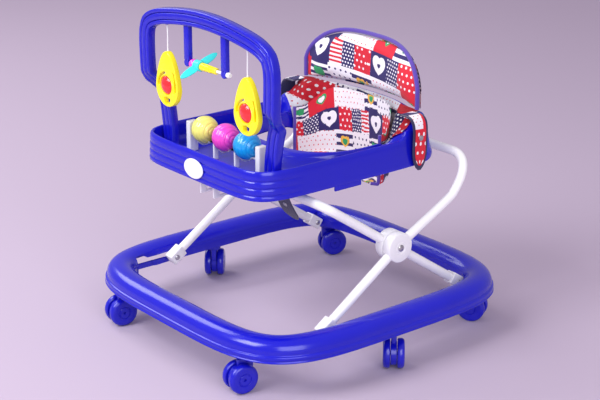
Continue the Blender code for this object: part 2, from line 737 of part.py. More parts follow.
def make_plane():
    """The toy aeroplane: its body turns on the spindle between the posts."""
    y, z = ARCH_MID_Y, SPINDLE_Z
    spindle = [(0.0026, (-0.0585, y, z), (0.0640, y, z))]
    node("plane_spindle", cylinders("plane_spindle", spindle, 12), white, plane_axis)
    tail = [
        (0.0029, 0.044),
        (0.0050, 0.044),
        (0.0054, 0.030),
        (0.0062, 0.012),
        (0.0066, 0.002),
        (0.0029, 0.002),
    ]
    body = turned("plane_tail", tail, 16, closed=True)
    body.transform(along(X_AXIS, (-0.0150, y, z)))
    node("plane_tail", body, yellow, plane_axis)
    nose = [
        (0.0029, 0.0115),
        (0.0072, 0.0115),
        (0.0086, 0.0080),
        (0.0080, 0.0030),
        (0.0050, 0.0),
        (0.0029, 0.0),
    ]
    cap = turned("plane_nose", nose, 16, closed=True)
    cap.transform(along(X_AXIS, (-0.0420, y, z)))
    node("plane_nose", cap, pink, plane_axis)
    blade = bmesh.new()
    add_cylinder(blade, 0.0090, (-0.0295, y, z), (-0.0140, y, z), 16)
    made = node("plane_blades", finished_mesh(blade, "plane_blades"), cyan, plane_axis)
    length, chord = 0.0400, 0.0072
    outline = []
    for k in range(24):
        t = 2 * pi * k / 24
        outline.append((chord * sin(t) * (0.72 + 0.28 * abs(cos(t))), length * cos(t)))
    wing = plate("plane_wing", [outline], 0.0030)
    wing.transform(Matrix.Rotation(pi / 2, 4, "Y") @ Matrix.Rotation(radians(35), 4, "Y"))
    wing.transform(Matrix.Translation((-0.0215, y, z)) @ Matrix.Rotation(radians(22), 4, "X"))
    boolean(made, cutter("plane_wing", wing), "UNION")
    bore = [(0.0029, (-0.05, y, z), (0.02, y, z))]
    boolean(made, cutter("plane_bore", cylinders("plane_bore", bore, 12)), "DIFFERENCE")


def teardrop(inset=0.0, steps=26):
    """The pendant's outline about the middle of its round end, with its point at the top."""
    outline = []
    radius = PENDANT_HALF_WIDTH - inset + 0.007
    for k in range(steps):
        t = 2 * pi * k / steps
        height = radius * 1.02 * cos(t)
        if height > 0:
            height *= 1 + 0.85 * (max(cos(t), 0)) ** 2.2
        outline.append((radius * sin(t) * (1 - 0.42 * max(cos(t), 0) ** 1.6), height))
    return outline


def make_pendants():
    middle = PENDANT_BOTTOM + 0.0335
    for side, label, axis in ((1, "left", swing_left), (-1, "right", swing_right)):
        x = side * PENDANT_X
        base = plate(f"pendant_{label}", [teardrop()], PENDANT_THICK)
        upright = Matrix.Translation((x, ARCH_MID_Y, middle)) @ Matrix.Rotation(pi / 2, 4, "X")
        base.transform(upright)
        made = node(f"pendant_{label}", base, yellow, axis)
        crescent = []
        for k in range(9):
            t = radians(100 + 75 * k / 8)
            crescent.append((0.0262 * cos(t), 0.0262 * sin(t)))
        for k in range(9):
            t = radians(175 - 75 * k / 8)
            crescent.append((0.0213 * cos(t), 0.0213 * sin(t)))
        slit = [(0.0225, -0.004), (0.0262, -0.002), (0.0250, 0.0150), (0.0190, 0.0290), (0.0165, 0.0262)]
        wedge = [(-0.0090, -0.0262), (0.0090, -0.0262), (0.0, -0.0192)]
        hole = [(0.0165 * cos(2 * pi * k / 20), 0.0165 * sin(2 * pi * k / 20) + 0.004) for k in range(20)]
        for number, outline in enumerate((crescent, slit, wedge, hole), 1):
            cut = plate(f"pendant_cut_{label}_{number}", [outline], 0.03)
            cut.transform(upright)
            boolean(made, cutter(f"pendant_cut_{label}_{number}", cut), "DIFFERENCE")
        eye = [(0.0013, (x, ARCH_MID_Y, PENDANT_TOP - 0.0085), (x, ARCH_MID_Y, PENDANT_TOP + 0.01))]
        boolean(made, cutter(f"pendant_eye_{label}", cylinders(f"pendant_eye_{label}", eye, 10)), "DIFFERENCE")
        dome = [
            (0, 0.0098),
            (0.0062, 0.0090),
            (0.0115, 0.0068),
            (0.0150, 0.0035),
            (0.0160, 0.0005),
            (0.0160, -0.0005),
            (0.0150, -0.0035),
            (0.0115, -0.0068),
            (0.0062, -0.0090),
            (0, -0.0098),
        ]
        jewel = turned(f"pendant_jewel_{label}", dome, 14)
        jewel.transform(along(-Y_AXIS, (x, ARCH_MID_Y, middle + 0.004)))
        node(f"pendant_jewel_{label}", jewel, red, axis)
        cord = [Vector((x, ARCH_MID_Y, height)) for height in (PENDANT_TOP - 0.0080, 0.520, STRING_TOP - 0.0002)]
        node(f"pendant_string_{label}", tube(f"pendant_string_{label}", cord, 0.0008, 2), white, axis)


# ---- ball rattle on the play tray ----


def make_balls():
    rack = bmesh.new()
    for side in (-1, 1):
        x = side * RACK_X
        add_box(rack, (x - 0.0060, BALL_Y - 0.0090, TRAY_FLOOR + GAP), (x + 0.0060, BALL_Y + 0.0090, 0.3755))
    made = node("ball_rack", finished_mesh(rack, "ball_rack"), white, tray_axis)
    bridge = bmesh.new()
    add_box(bridge, (-RACK_X, BALL_Y - 0.0120, TRAY_FLOOR + GAP), (RACK_X, BALL_Y + 0.0120, TRAY_FLOOR + 0.0040))
    for k in range(4):
        x = (k - 1.5) * BALL_PITCH
        add_box(bridge, (x - 0.0045, BALL_Y - 0.0110, TRAY_FLOOR + 0.001), (x + 0.0045, BALL_Y + 0.0110, 0.3420))
    boolean(made, cutter("rack_bridge", finished_mesh(bridge, "rack_bridge")), "UNION")
    cuts = bmesh.new()
    for k in range(-1, 2):
        bmesh.ops.create_uvsphere(
            cuts, u_segments=20, v_segments=12, radius=BALL_RADIUS + 0.0012,
            matrix=Matrix.Translation((k * BALL_PITCH, BALL_Y, BALL_Z)),
        )
    add_cylinder(cuts, 0.0024 + GAP, (-RACK_X, BALL_Y, BALL_Z), (RACK_X, BALL_Y, BALL_Z), 12)
    boolean(made, cutter("rack_hollows", finished_mesh(cuts, "rack_hollows")), "DIFFERENCE")
    rod = [(0.0024, (-RACK_X + 0.0004, BALL_Y, BALL_Z), (RACK_X - 0.0004, BALL_Y, BALL_Z))]
    node("ball_rod", cylinders("ball_rod", rod, 10), steel, tray_axis)
    profile = [(0.0028, 0.0232)]
    for k in range(1, 10):
        t = pi * k / 10
        swell = BALL_RADIUS if k % 2 == 0 else BALL_RADIUS - 0.0007
        profile.append((max(swell * sin(t), 0.0050), swell * cos(t)))
    profile.append((0.0028, -0.0232))
    for k, label, finish in ((-1, "yellow", pale), (0, "pink", pink), (1, "blue", sky)):
        ball = turned(f"ball_{label}", profile, 16, closed=True)
        ball.transform(along(X_AXIS, (0, 0, 0)))
        axis = axis_at(f"ball_axis_{label}", Vector((k * BALL_PITCH, BALL_Y, BALL_Z)) - tray_axis.location, 0, tray_axis)
        node(f"ball_{label}", ball, finish, axis, (0, 0, 0))


# ---- seat ----


def back_line(x, depth=0.0):
    """The backrest's curve in plan: how far back it stands at x."""
    return BACK_Y - 0.031 * (abs(x) / BACK_HALF_WIDTH) ** 2.2 + depth


def back_sheet(name, half_width, low, high, depth, across=15, rows=6):
    """An upright sheet on the backrest's curve, with rounded top corners."""

    def place(u, v):
        x = (2 * u - 1) * half_width
        edge = 1 - (abs(x) / (half_width * 1.002)) ** 3.4
        top = low + (high - low) * (0.30 + 0.70 * max(edge, 0) ** 0.62)
        return (x, back_line(x, depth), low + (top - low) * v)

    return bent_sheet(name, across, rows, place)


def sling_point(u, v):
    """The fabric seat: a wall inside the opening, then a bottom that runs forward under the child."""
    angle = radians(16) + radians(148) * u
    wall = opening_point(angle, 0.0060)
    top = 0.352 + 0.036 * ease(0.10, 0.15, wall.y)
    if v < 0.6:
        return (wall.x, wall.y, top + (0.282 - top) * v / 0.6)
    run = (v - 0.6) / 0.4
    sag = sin(pi / 2 * min(run * 3, 1))
    end = Vector((wall.x * 0.9, 0.078))
    flat = wall.lerp(end, run * run)
    return (flat.x, flat.y, 0.282 - 0.018 * sag)


def strap(name, width, line, thickness, finish, square):
    """A flat strap along the line of points; square gives the direction across it."""
    path = smooth_path(line, 3)
    across = Vector(square).normalized() * width / 2

    def place(u, v):
        step = min(int(v * (len(path) - 1) + 0.5), len(path) - 1)
        end = len(path) - 1 - step
        narrow = (1.0, 0.62)[end == 0] if end < 2 else 1.0
        return path[step] + across * (2 * u - 1) * narrow

    made = node(name, bent_sheet(name, 3, len(path), place), finish, tray_axis)
    thicken(made, thickness)


def make_seat():
    panel = back_sheet("backrest_panel", BACK_HALF_WIDTH - 0.008, BACK_BOTTOM, 0.484, 0.0030, 13, 4)
    thicken(node("backrest_panel", panel, white, tray_axis), PANEL_THICK, 0)
    pad = back_sheet("backrest_pad", BACK_HALF_WIDTH, BACK_BOTTOM, BACK_TOP, -PAD_THICK / 2 - 0.001)
    thicken(node("backrest_pad", pad, fabric, tray_axis), PAD_THICK, 0)
    sling = bent_sheet("seat_sling", 20, 10, sling_point)
    thicken(node("seat_sling", sling, fabric, tray_axis), SLING_THICK, 0)
    line = [
        (0, -0.056, 0.3000),
        (0, -0.050, 0.2800),
        (0, -0.036, 0.2400),
        (0, -0.020, 0.2090),
        (0, -0.006, 0.1910),
    ]
    strap("crotch_strap", 0.040, line, 0.0030, navy, X_AXIS)
    for side, label in ((1, "left"), (-1, "right")):
        line = [
            (side * 0.1560, 0.121, 0.3925),
            (side * 0.1700, 0.121, 0.3890),
            (side * 0.1780, 0.121, 0.3780),
            (side * 0.1785, 0.121, 0.3500),
            (side * 0.1785, 0.121, 0.3000),
        ]
        strap(f"side_strap_{label}", 0.034, line, 0.0024, fabric, Y_AXIS)
        stud = screw_mesh(f"side_snap_{label}", (side * 0.1800, 0.121, 0.3180), -X_AXIS * side, 0.0002, 0.0050)
        node(f"side_snap_{label}", stud, steel, tray_axis)
    stud = screw_mesh("crotch_snap", (0, -0.0298, 0.2212), Vector((0, 0.83, 0.55)), 0.0002, 0.0050)
    node("crotch_snap", stud, steel, tray_axis)


clear_scene()
parts = collection("baby_walker")
cutters = collection("cutters")
blue = material("blue_plastic", (0.011, 0.012, 0.68), 0.22)
white = material("white_plastic", (0.86, 0.86, 0.88), 0.35)
white_metal = material("white_powder_coat", (0.86, 0.86, 0.88), 0.3)
steel = material("zinc_steel", (0.55, 0.55, 0.56), 0.35, 1.0)
yellow = material("yellow_plastic", (0.95, 0.78, 0.02), 0.3)
red = material("red_plastic", (0.86, 0.02, 0.03), 0.25)
pink = material("pink_plastic", (0.92, 0.09, 0.55), 0.25)
cyan = material("cyan_plastic", (0.03, 0.70, 0.76), 0.3)
pale = material("pale_yellow_plastic", (0.86, 0.82, 0.22), 0.25)
sky = material("sky_plastic", (0.01, 0.36, 0.80), 0.25)
fabric = material("printed_cotton", (0.60, 0.10, 0.16), 0.9)
navy = material("navy_webbing", (0.012, 0.012, 0.06), 0.9)
fold_axis = axis_at("fold_axis", Vector((0, REAR_FOOT_Y, FOOT_HEIGHT)))
cross_axis = axis_at("cross_axis", Vector((0, HUB_Y, HUB_Z)))
tray_axis = axis_at("tray_axis", Vector((0, *REAR_BAR)))
plane_axis = axis_at("plane_axis", Vector((0, ARCH_MID_Y, SPINDLE_Z)))
swing_left = axis_at("swing_axis_left", Vector((PENDANT_X, ARCH_MID_Y, STRING_TOP)))
swing_right = axis_at("swing_axis_right", Vector((-PENDANT_X, ARCH_MID_Y, STRING_TOP)))
make_base()
make_casters()
make_frames()
make_tray()
make_arch()
make_plane()
make_pendants()
make_balls()
make_seat()
for part in parts.objects:
    if part.type == "MESH":
        part.data.shade_smooth()
        part.data.set_sharp_from_angle(angle=radians(30))
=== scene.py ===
import json
from math import atan2, cos, hypot, pi, radians, sin

import bmesh
import bpy
from mathutils import Matrix, Vector, noise

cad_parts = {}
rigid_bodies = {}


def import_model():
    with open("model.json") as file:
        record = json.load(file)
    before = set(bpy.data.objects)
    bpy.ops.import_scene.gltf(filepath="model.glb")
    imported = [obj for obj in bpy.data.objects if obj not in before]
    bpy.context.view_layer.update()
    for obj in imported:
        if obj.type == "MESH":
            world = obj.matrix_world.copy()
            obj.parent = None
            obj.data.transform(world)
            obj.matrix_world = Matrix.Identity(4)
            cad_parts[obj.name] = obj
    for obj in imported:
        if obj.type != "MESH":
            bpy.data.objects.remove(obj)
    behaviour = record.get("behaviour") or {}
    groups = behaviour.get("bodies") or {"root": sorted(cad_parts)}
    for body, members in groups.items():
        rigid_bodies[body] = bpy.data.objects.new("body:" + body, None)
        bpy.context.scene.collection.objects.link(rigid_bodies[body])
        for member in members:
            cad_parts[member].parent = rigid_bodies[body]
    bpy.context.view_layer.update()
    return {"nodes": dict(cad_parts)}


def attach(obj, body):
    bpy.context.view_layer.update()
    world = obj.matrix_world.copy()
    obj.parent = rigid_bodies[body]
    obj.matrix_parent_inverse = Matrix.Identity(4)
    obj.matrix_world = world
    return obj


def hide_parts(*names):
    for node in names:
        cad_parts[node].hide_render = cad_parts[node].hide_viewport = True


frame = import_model()
print("frame loaded")


# small helpers that every piece uses

def ease(low, high, value):
    t = min(max((value - low) / (high - low), 0), 1)
    return t * t * (3 - 2 * t)


def addPiece(name, bm, finish, body, replaced=(), smoothAngle=40):
    mesh = bpy.data.meshes.new(name)
    bm.to_mesh(mesh)
    bm.free()
    return dressMesh(name, mesh, finish, body, replaced, smoothAngle)


def dressMesh(name, mesh, finish, body, replaced=(), smoothAngle=40):
    piece = bpy.data.objects.new(name, mesh)
    bpy.context.scene.collection.objects.link(piece)
    mesh.materials.clear()
    mesh.materials.append(finish["material"])
    mesh.shade_smooth()
    mesh.set_sharp_from_angle(angle=radians(smoothAngle))
    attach(piece, body)
    if replaced:
        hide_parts(*replaced)
    return piece


def applyModifiers(piece):
    bpy.context.view_layer.update()
    graph = bpy.context.evaluated_depsgraph_get()
    mesh = bpy.data.meshes.new_from_object(piece.evaluated_get(graph))
    piece.modifiers.clear()
    piece.data = mesh
    return piece


def subdivide(piece, levels=1):
    modifier = piece.modifiers.new("Smooth", "SUBSURF")
    modifier.levels = levels
    modifier.render_levels = levels
    return piece


def latheMesh(profile, steps, axis="Z", centre=(0, 0, 0)):
    bm = bmesh.new()  # the profile holds (radius, height) pairs
    verts = [bm.verts.new((radius, 0, height)) for radius, height in profile]
    edges = [bm.edges.new(pair) for pair in zip(verts, verts[1:])]
    bmesh.ops.spin(
        bm, geom=verts + edges, cent=(0, 0, 0), axis=(0, 0, 1), angle=2 * pi, steps=steps, use_merge=True
    )
    bmesh.ops.remove_doubles(bm, verts=bm.verts, dist=0.00001)
    bmesh.ops.recalc_face_normals(bm, faces=bm.faces)
    turn = {"Z": Matrix.Identity(4), "X": Matrix.Rotation(pi / 2, 4, "Y"), "Y": Matrix.Rotation(-pi / 2, 4, "X")}
    bm.transform(Matrix.Translation(centre) @ turn[axis])
    return bm


def curveMesh(name, points, radius, resolution=6, cyclic=False):
    curve = bpy.data.curves.new(name, "CURVE")
    curve.dimensions = "3D"
    curve.bevel_depth = radius
    curve.bevel_resolution = resolution
    curve.use_fill_caps = not cyclic
    spline = curve.splines.new("POLY")
    spline.use_cyclic_u = cyclic
    spline.points.add(len(points) - 1)
    for place, point in zip(spline.points, points):
        place.co = (*point, 1)
    return curveToMesh(curve, name)


def curveToMesh(curve, name):
    guide = bpy.data.objects.new(name, curve)
    bpy.context.scene.collection.objects.link(guide)
    bpy.context.view_layer.update()
    mesh = bpy.data.meshes.new_from_object(guide.evaluated_get(bpy.context.evaluated_depsgraph_get()))
    bpy.data.objects.remove(guide, do_unlink=True)
    bm = bmesh.new()
    bm.from_mesh(mesh)
    bmesh.ops.remove_doubles(bm, verts=bm.verts, dist=0.00001)
    bmesh.ops.recalc_face_normals(bm, faces=bm.faces)
    bm.to_mesh(mesh)
    bm.free()
    return mesh


def plateMesh(name, outlines, thickness, rounding):
    curve = bpy.data.curves.new(name, "CURVE")
    curve.dimensions = "2D"
    curve.fill_mode = "BOTH"
    curve.extrude = thickness / 2 - rounding
    curve.bevel_depth = rounding
    curve.bevel_resolution = 3
    curve.offset = -rounding
    for outline in outlines:
        spline = curve.splines.new("POLY")
        spline.use_cyclic_u = True
        spline.points.add(len(outline) - 1)
        for place, (x, y) in zip(spline.points, outline):
            place.co = (x, y, 0, 1)
    return curveToMesh(curve, name)


def smoothRun(points, perSpan):
    points = [Vector(point) for point in points]
    ends = [2 * points[0] - points[1], *points, 2 * points[-1] - points[-2]]
    run = []
    for a, b, c, d in zip(ends, ends[1:], ends[2:], ends[3:]):
        for step in range(perSpan):
            t = step / perSpan
            run.append(0.5 * (2 * b + (c - a) * t + (2 * a - 5 * b + 4 * c - d) * t * t + (3 * b - a - 3 * c + d) * t**3))
    run.append(points[-1])
    return run


def cutterFrom(bm, name):
    mesh = bpy.data.meshes.new(name)
    bm.to_mesh(mesh)
    bm.free()
    cutter = bpy.data.objects.new(name, mesh)
    bpy.context.scene.collection.objects.link(cutter)
    return cutter


def cutWith(piece, cutter):
    modifier = piece.modifiers.new("Cut", "BOOLEAN")
    modifier.object = cutter
    modifier.operation = "DIFFERENCE"
    modifier.use_self = True
    applyModifiers(piece)
    bpy.data.objects.remove(cutter, do_unlink=True)
    return piece


def cube(bm, low, high):
    low, high = Vector(low), Vector(high)
    place = Matrix.Translation((low + high) / 2) @ Matrix.Diagonal((*(high - low), 1))
    return bmesh.ops.create_cube(bm, size=1, matrix=place)["verts"]


# shader helpers

def newMaterial(name):
    material = bpy.data.materials.new(name)
    material.use_nodes = True
    return material, material.node_tree


def put(tree, kind, **settings):
    node = tree.nodes.new(kind)
    for key, value in settings.items():
        setattr(node, key, value)
    return node


def maths(tree, operation, a, b=0.0, c=0.0):
    node = put(tree, "ShaderNodeMath", operation=operation)
    for number, value in enumerate((a, b, c)):
        if isinstance(value, (int, float)):
            node.inputs[number].default_value = value
        else:
            tree.links.new(value, node.inputs[number])
    return node.outputs[0]


def mixColour(tree, factor, a, b):
    node = put(tree, "ShaderNodeMix", data_type="RGBA")
    for socket, value in ((node.inputs[0], factor), (node.inputs[6], a), (node.inputs[7], b)):
        if isinstance(value, (tuple, float, int)):
            socket.default_value = value
        else:
            tree.links.new(value, socket)
    return node.outputs[2]


def newGroup(name, inputs, outputs):
    group = bpy.data.node_groups.new(name, "ShaderNodeTree")
    for label, kind, value in inputs:
        socket = group.interface.new_socket(label, in_out="INPUT", socket_type=kind)
        if value is not None:
            socket.default_value = value
    for label, kind in outputs:
        group.interface.new_socket(label, in_out="OUTPUT", socket_type=kind)
    start = group.nodes.new("NodeGroupInput")
    end = group.nodes.new("NodeGroupOutput")
    return group, start, end


def useGroup(tree, group, values, links):
    node = put(tree, "ShaderNodeGroup", node_tree=group)
    for label, value in values.items():
        node.inputs[label].default_value = value
    for label, source in links.items():
        tree.links.new(source, node.inputs[label])
    return node


def buildMouldGroup():
    # moulded plastic: faint flow clouds, fine orange peel, scuffed and paler edges
    group, start, end = newGroup(
        "mouldedSurface",
        [("Vector", "NodeSocketVector", None), ("Base", "NodeSocketColor", (1, 1, 1, 1)),
         ("Gloss", "NodeSocketFloat", 0.25), ("Wear", "NodeSocketFloat", 0.2), ("Grain", "NodeSocketFloat", 900.0)],
        [("Color", "NodeSocketColor"), ("Roughness", "NodeSocketFloat"), ("Height", "NodeSocketFloat")],
    )
    clouds = put(group, "ShaderNodeTexNoise")
    clouds.inputs["Scale"].default_value = 14
    clouds.inputs["Detail"].default_value = 4
    group.links.new(start.outputs["Vector"], clouds.inputs["Vector"])
    peel = put(group, "ShaderNodeTexNoise")
    peel.inputs["Detail"].default_value = 2
    group.links.new(start.outputs["Vector"], peel.inputs["Vector"])
    group.links.new(start.outputs["Grain"], peel.inputs["Scale"])
    scuff = put(group, "ShaderNodeTexNoise")
    scuff.inputs["Scale"].default_value = 85
    scuff.inputs["Detail"].default_value = 6
    group.links.new(start.outputs["Vector"], scuff.inputs["Vector"])
    shape = put(group, "ShaderNodeNewGeometry")
    edge = maths(group, "MULTIPLY", maths(group, "SUBTRACT", shape.outputs["Pointiness"], 0.52), 14)
    edge = maths(group, "MAXIMUM", maths(group, "MINIMUM", edge, 1.0), 0.0)
    worn = maths(group, "MULTIPLY", edge, maths(group, "GREATER_THAN", scuff.outputs["Fac"], 0.5))
    worn = maths(group, "MULTIPLY", worn, start.outputs["Wear"])
    shade = maths(group, "MULTIPLY_ADD", clouds.outputs["Fac"], 0.16, 0.92)
    tint = put(group, "ShaderNodeVectorMath", operation="SCALE")
    group.links.new(start.outputs["Base"], tint.inputs[0])
    group.links.new(shade, tint.inputs["Scale"])
    colour = mixColour(group, worn, tint.outputs[0], (0.45, 0.45, 0.85, 1))
    group.links.new(colour, end.inputs["Color"])
    rough = maths(group, "MULTIPLY_ADD", scuff.outputs["Fac"], 0.05, start.outputs["Gloss"])
    group.links.new(maths(group, "MULTIPLY_ADD", worn, 0.3, rough), end.inputs["Roughness"])
    group.links.new(peel.outputs["Fac"], end.inputs["Height"])
    return group


def buildWeaveGroup():
    # plain weave: warp and weft sines out of step, with slubs; the colour is darkened where the weave is low, painted
    # shade in the thread valleys
    group, start, end = newGroup(
        "plainWeave",
        [("Vector", "NodeSocketVector", None), ("Threads", "NodeSocketFloat", 1500.0), ("Base", "NodeSocketColor", (1, 1, 1, 1))],
        [("Color", "NodeSocketColor"), ("Height", "NodeSocketFloat")],
    )
    split = put(group, "ShaderNodeSeparateXYZ")
    group.links.new(start.outputs["Vector"], split.inputs[0])
    warp = maths(group, "SINE", maths(group, "MULTIPLY", split.outputs[0], maths(group, "MULTIPLY", start.outputs["Threads"], 3.1416)))
    weft = maths(group, "SINE", maths(group, "MULTIPLY", split.outputs[1], maths(group, "MULTIPLY", start.outputs["Threads"], 3.1416)))
    height = maths(group, "MULTIPLY", warp, weft)
    slub = put(group, "ShaderNodeTexNoise")
    slub.inputs["Scale"].default_value = 260
    slub.inputs["Detail"].default_value = 4
    group.links.new(start.outputs["Vector"], slub.inputs["Vector"])
    level = maths(group, "MULTIPLY_ADD", slub.outputs["Fac"], 0.8, height)
    # painted shade: the colour darkens with the weave height, deepest in the valleys between threads and in the slub
    # dips
    shade = maths(group, "MULTIPLY_ADD", level, 0.07, 0.92)
    tint = put(group, "ShaderNodeVectorMath", operation="SCALE")
    group.links.new(start.outputs["Base"], tint.inputs[0])
    group.links.new(shade, tint.inputs["Scale"])
    group.links.new(tint.outputs[0], end.inputs["Color"])
    group.links.new(level, end.inputs["Height"])
    return group


def buildDotGroup():
    # round dots on a square grid, every second row shifted by half a step
    group, start, end = newGroup(
        "spotGrid",
        [("Vector", "NodeSocketVector", None), ("Pitch", "NodeSocketFloat", 0.006), ("Size", "NodeSocketFloat", 0.28)],
        [("Mask", "NodeSocketFloat")],
    )
    split = put(group, "ShaderNodeSeparateXYZ")
    group.links.new(start.outputs["Vector"], split.inputs[0])
    u = maths(group, "DIVIDE", split.outputs[0], start.outputs["Pitch"])
    v = maths(group, "DIVIDE", split.outputs[1], start.outputs["Pitch"])
    shift = maths(group, "MULTIPLY", maths(group, "FLOORED_MODULO", maths(group, "FLOOR", v), 2.0), 0.5)
    du = maths(group, "SUBTRACT", maths(group, "FRACT", maths(group, "ADD", u, shift)), 0.5)
    dv = maths(group, "SUBTRACT", maths(group, "FRACT", v), 0.5)
    reach = maths(group, "SQRT", maths(group, "ADD", maths(group, "MULTIPLY", du, du), maths(group, "MULTIPLY", dv, dv)))
    group.links.new(maths(group, "LESS_THAN", reach, start.outputs["Size"]), end.inputs["Mask"])
    return group


def buildHeartGroup():
    # a heart about the origin, one unit across
    group, start, end = newGroup(
        "heartShape",
        [("Vector", "NodeSocketVector", None), ("Size", "NodeSocketFloat", 0.4)],
        [("Mask", "NodeSocketFloat")],
    )
    split = put(group, "ShaderNodeSeparateXYZ")
    group.links.new(start.outputs["Vector"], split.inputs[0])
    x = maths(group, "DIVIDE", split.outputs[0], start.outputs["Size"])
    y = maths(group, "ADD", maths(group, "DIVIDE", split.outputs[1], start.outputs["Size"]), 0.1)
    xx = maths(group, "MULTIPLY", x, x)
    yy = maths(group, "MULTIPLY", y, y)
    body = maths(group, "SUBTRACT", maths(group, "ADD", xx, yy), 1.0)
    cubeOf = maths(group, "MULTIPLY", maths(group, "MULTIPLY", body, body), body)
    lobes = maths(group, "MULTIPLY", xx, maths(group, "MULTIPLY", yy, y))
    group.links.new(maths(group, "LESS_THAN", maths(group, "SUBTRACT", cubeOf, lobes), 0.0), end.inputs["Mask"])
    return group


mouldGroup = buildMouldGroup()
weaveGroup = buildWeaveGroup()
dotGroup = buildDotGroup()
heartGroup = buildHeartGroup()


def moulded(name, slotName, base, gloss=0.22, wear=0.15, grain=900.0, bump=0.02, coat=0.0, through=0.0):
    material, tree = newMaterial(name)
    shader = tree.nodes["Principled BSDF"]
    place = put(tree, "ShaderNodeTexCoord")
    skin = useGroup(tree, mouldGroup, {"Base": (*base, 1), "Gloss": gloss - 0.06, "Wear": wear, "Grain": grain},
                    {"Vector": place.outputs["Object"]})
    tree.links.new(skin.outputs["Color"], shader.inputs["Base Color"])
    tree.links.new(skin.outputs["Roughness"], shader.inputs["Roughness"])
    relief = put(tree, "ShaderNodeBump")
    relief.inputs["Strength"].default_value = bump
    relief.inputs["Distance"].default_value = 0.001
    tree.links.new(skin.outputs["Height"], relief.inputs["Height"])
    tree.links.new(relief.outputs["Normal"], shader.inputs["Normal"])
    shader.inputs["Coat Weight"].default_value = coat
    shader.inputs["Coat Roughness"].default_value = 0.08
    if through:
        shader.inputs["Subsurface Weight"].default_value = through
        shader.inputs["Subsurface Radius"].default_value = (0.012, 0.012, 0.012)
        shader.inputs["Subsurface Scale"].default_value = 1.0
    return {"material": material, "slot": slotName}


def brushedZinc():
    material, tree = newMaterial("zincPlate")
    shader = tree.nodes["Principled BSDF"]
    place = put(tree, "ShaderNodeTexCoord")
    skin = useGroup(tree, mouldGroup, {"Base": (0.52, 0.52, 0.53, 1), "Gloss": 0.28, "Wear": 0.1, "Grain": 2400.0},
                    {"Vector": place.outputs["Object"]})
    tree.links.new(skin.outputs["Color"], shader.inputs["Base Color"])
    tree.links.new(skin.outputs["Roughness"], shader.inputs["Roughness"])
    shader.inputs["Metallic"].default_value = 1.0
    return {"material": material, "slot": "zinc_steel"}


def wovenCloth(name, slotName, base, threads=1400.0, vectorFrom="UV", bump=0.35):
    material, tree = newMaterial(name)
    shader = tree.nodes["Principled BSDF"]
    place = put(tree, "ShaderNodeTexCoord")
    cloth = useGroup(tree, weaveGroup, {"Threads": threads, "Base": (*base, 1)}, {"Vector": place.outputs[vectorFrom]})
    tree.links.new(cloth.outputs["Color"], shader.inputs["Base Color"])
    relief = put(tree, "ShaderNodeBump")
    relief.inputs["Strength"].default_value = bump
    relief.inputs["Distance"].default_value = 0.0003
    tree.links.new(cloth.outputs["Height"], relief.inputs["Height"])
    tree.links.new(relief.outputs["Normal"], shader.inputs["Normal"])
    shader.inputs["Roughness"].default_value = 0.85
    shader.inputs["Sheen Weight"].default_value = 0.35
    return {"material": material, "slot": slotName}


printSettings = {
    "row": 0.047,  # height of one row of patches
    "turn": 4,
    "crimson": (0.70, 0.008, 0.03, 1),
    "navy": (0.020, 0.012, 0.12, 1),
    "cream": (0.92, 0.90, 0.94, 1),
    "leaf": (0.02, 0.36, 0.12, 1),
    "corn": (0.90, 0.50, 0.06, 1),
}


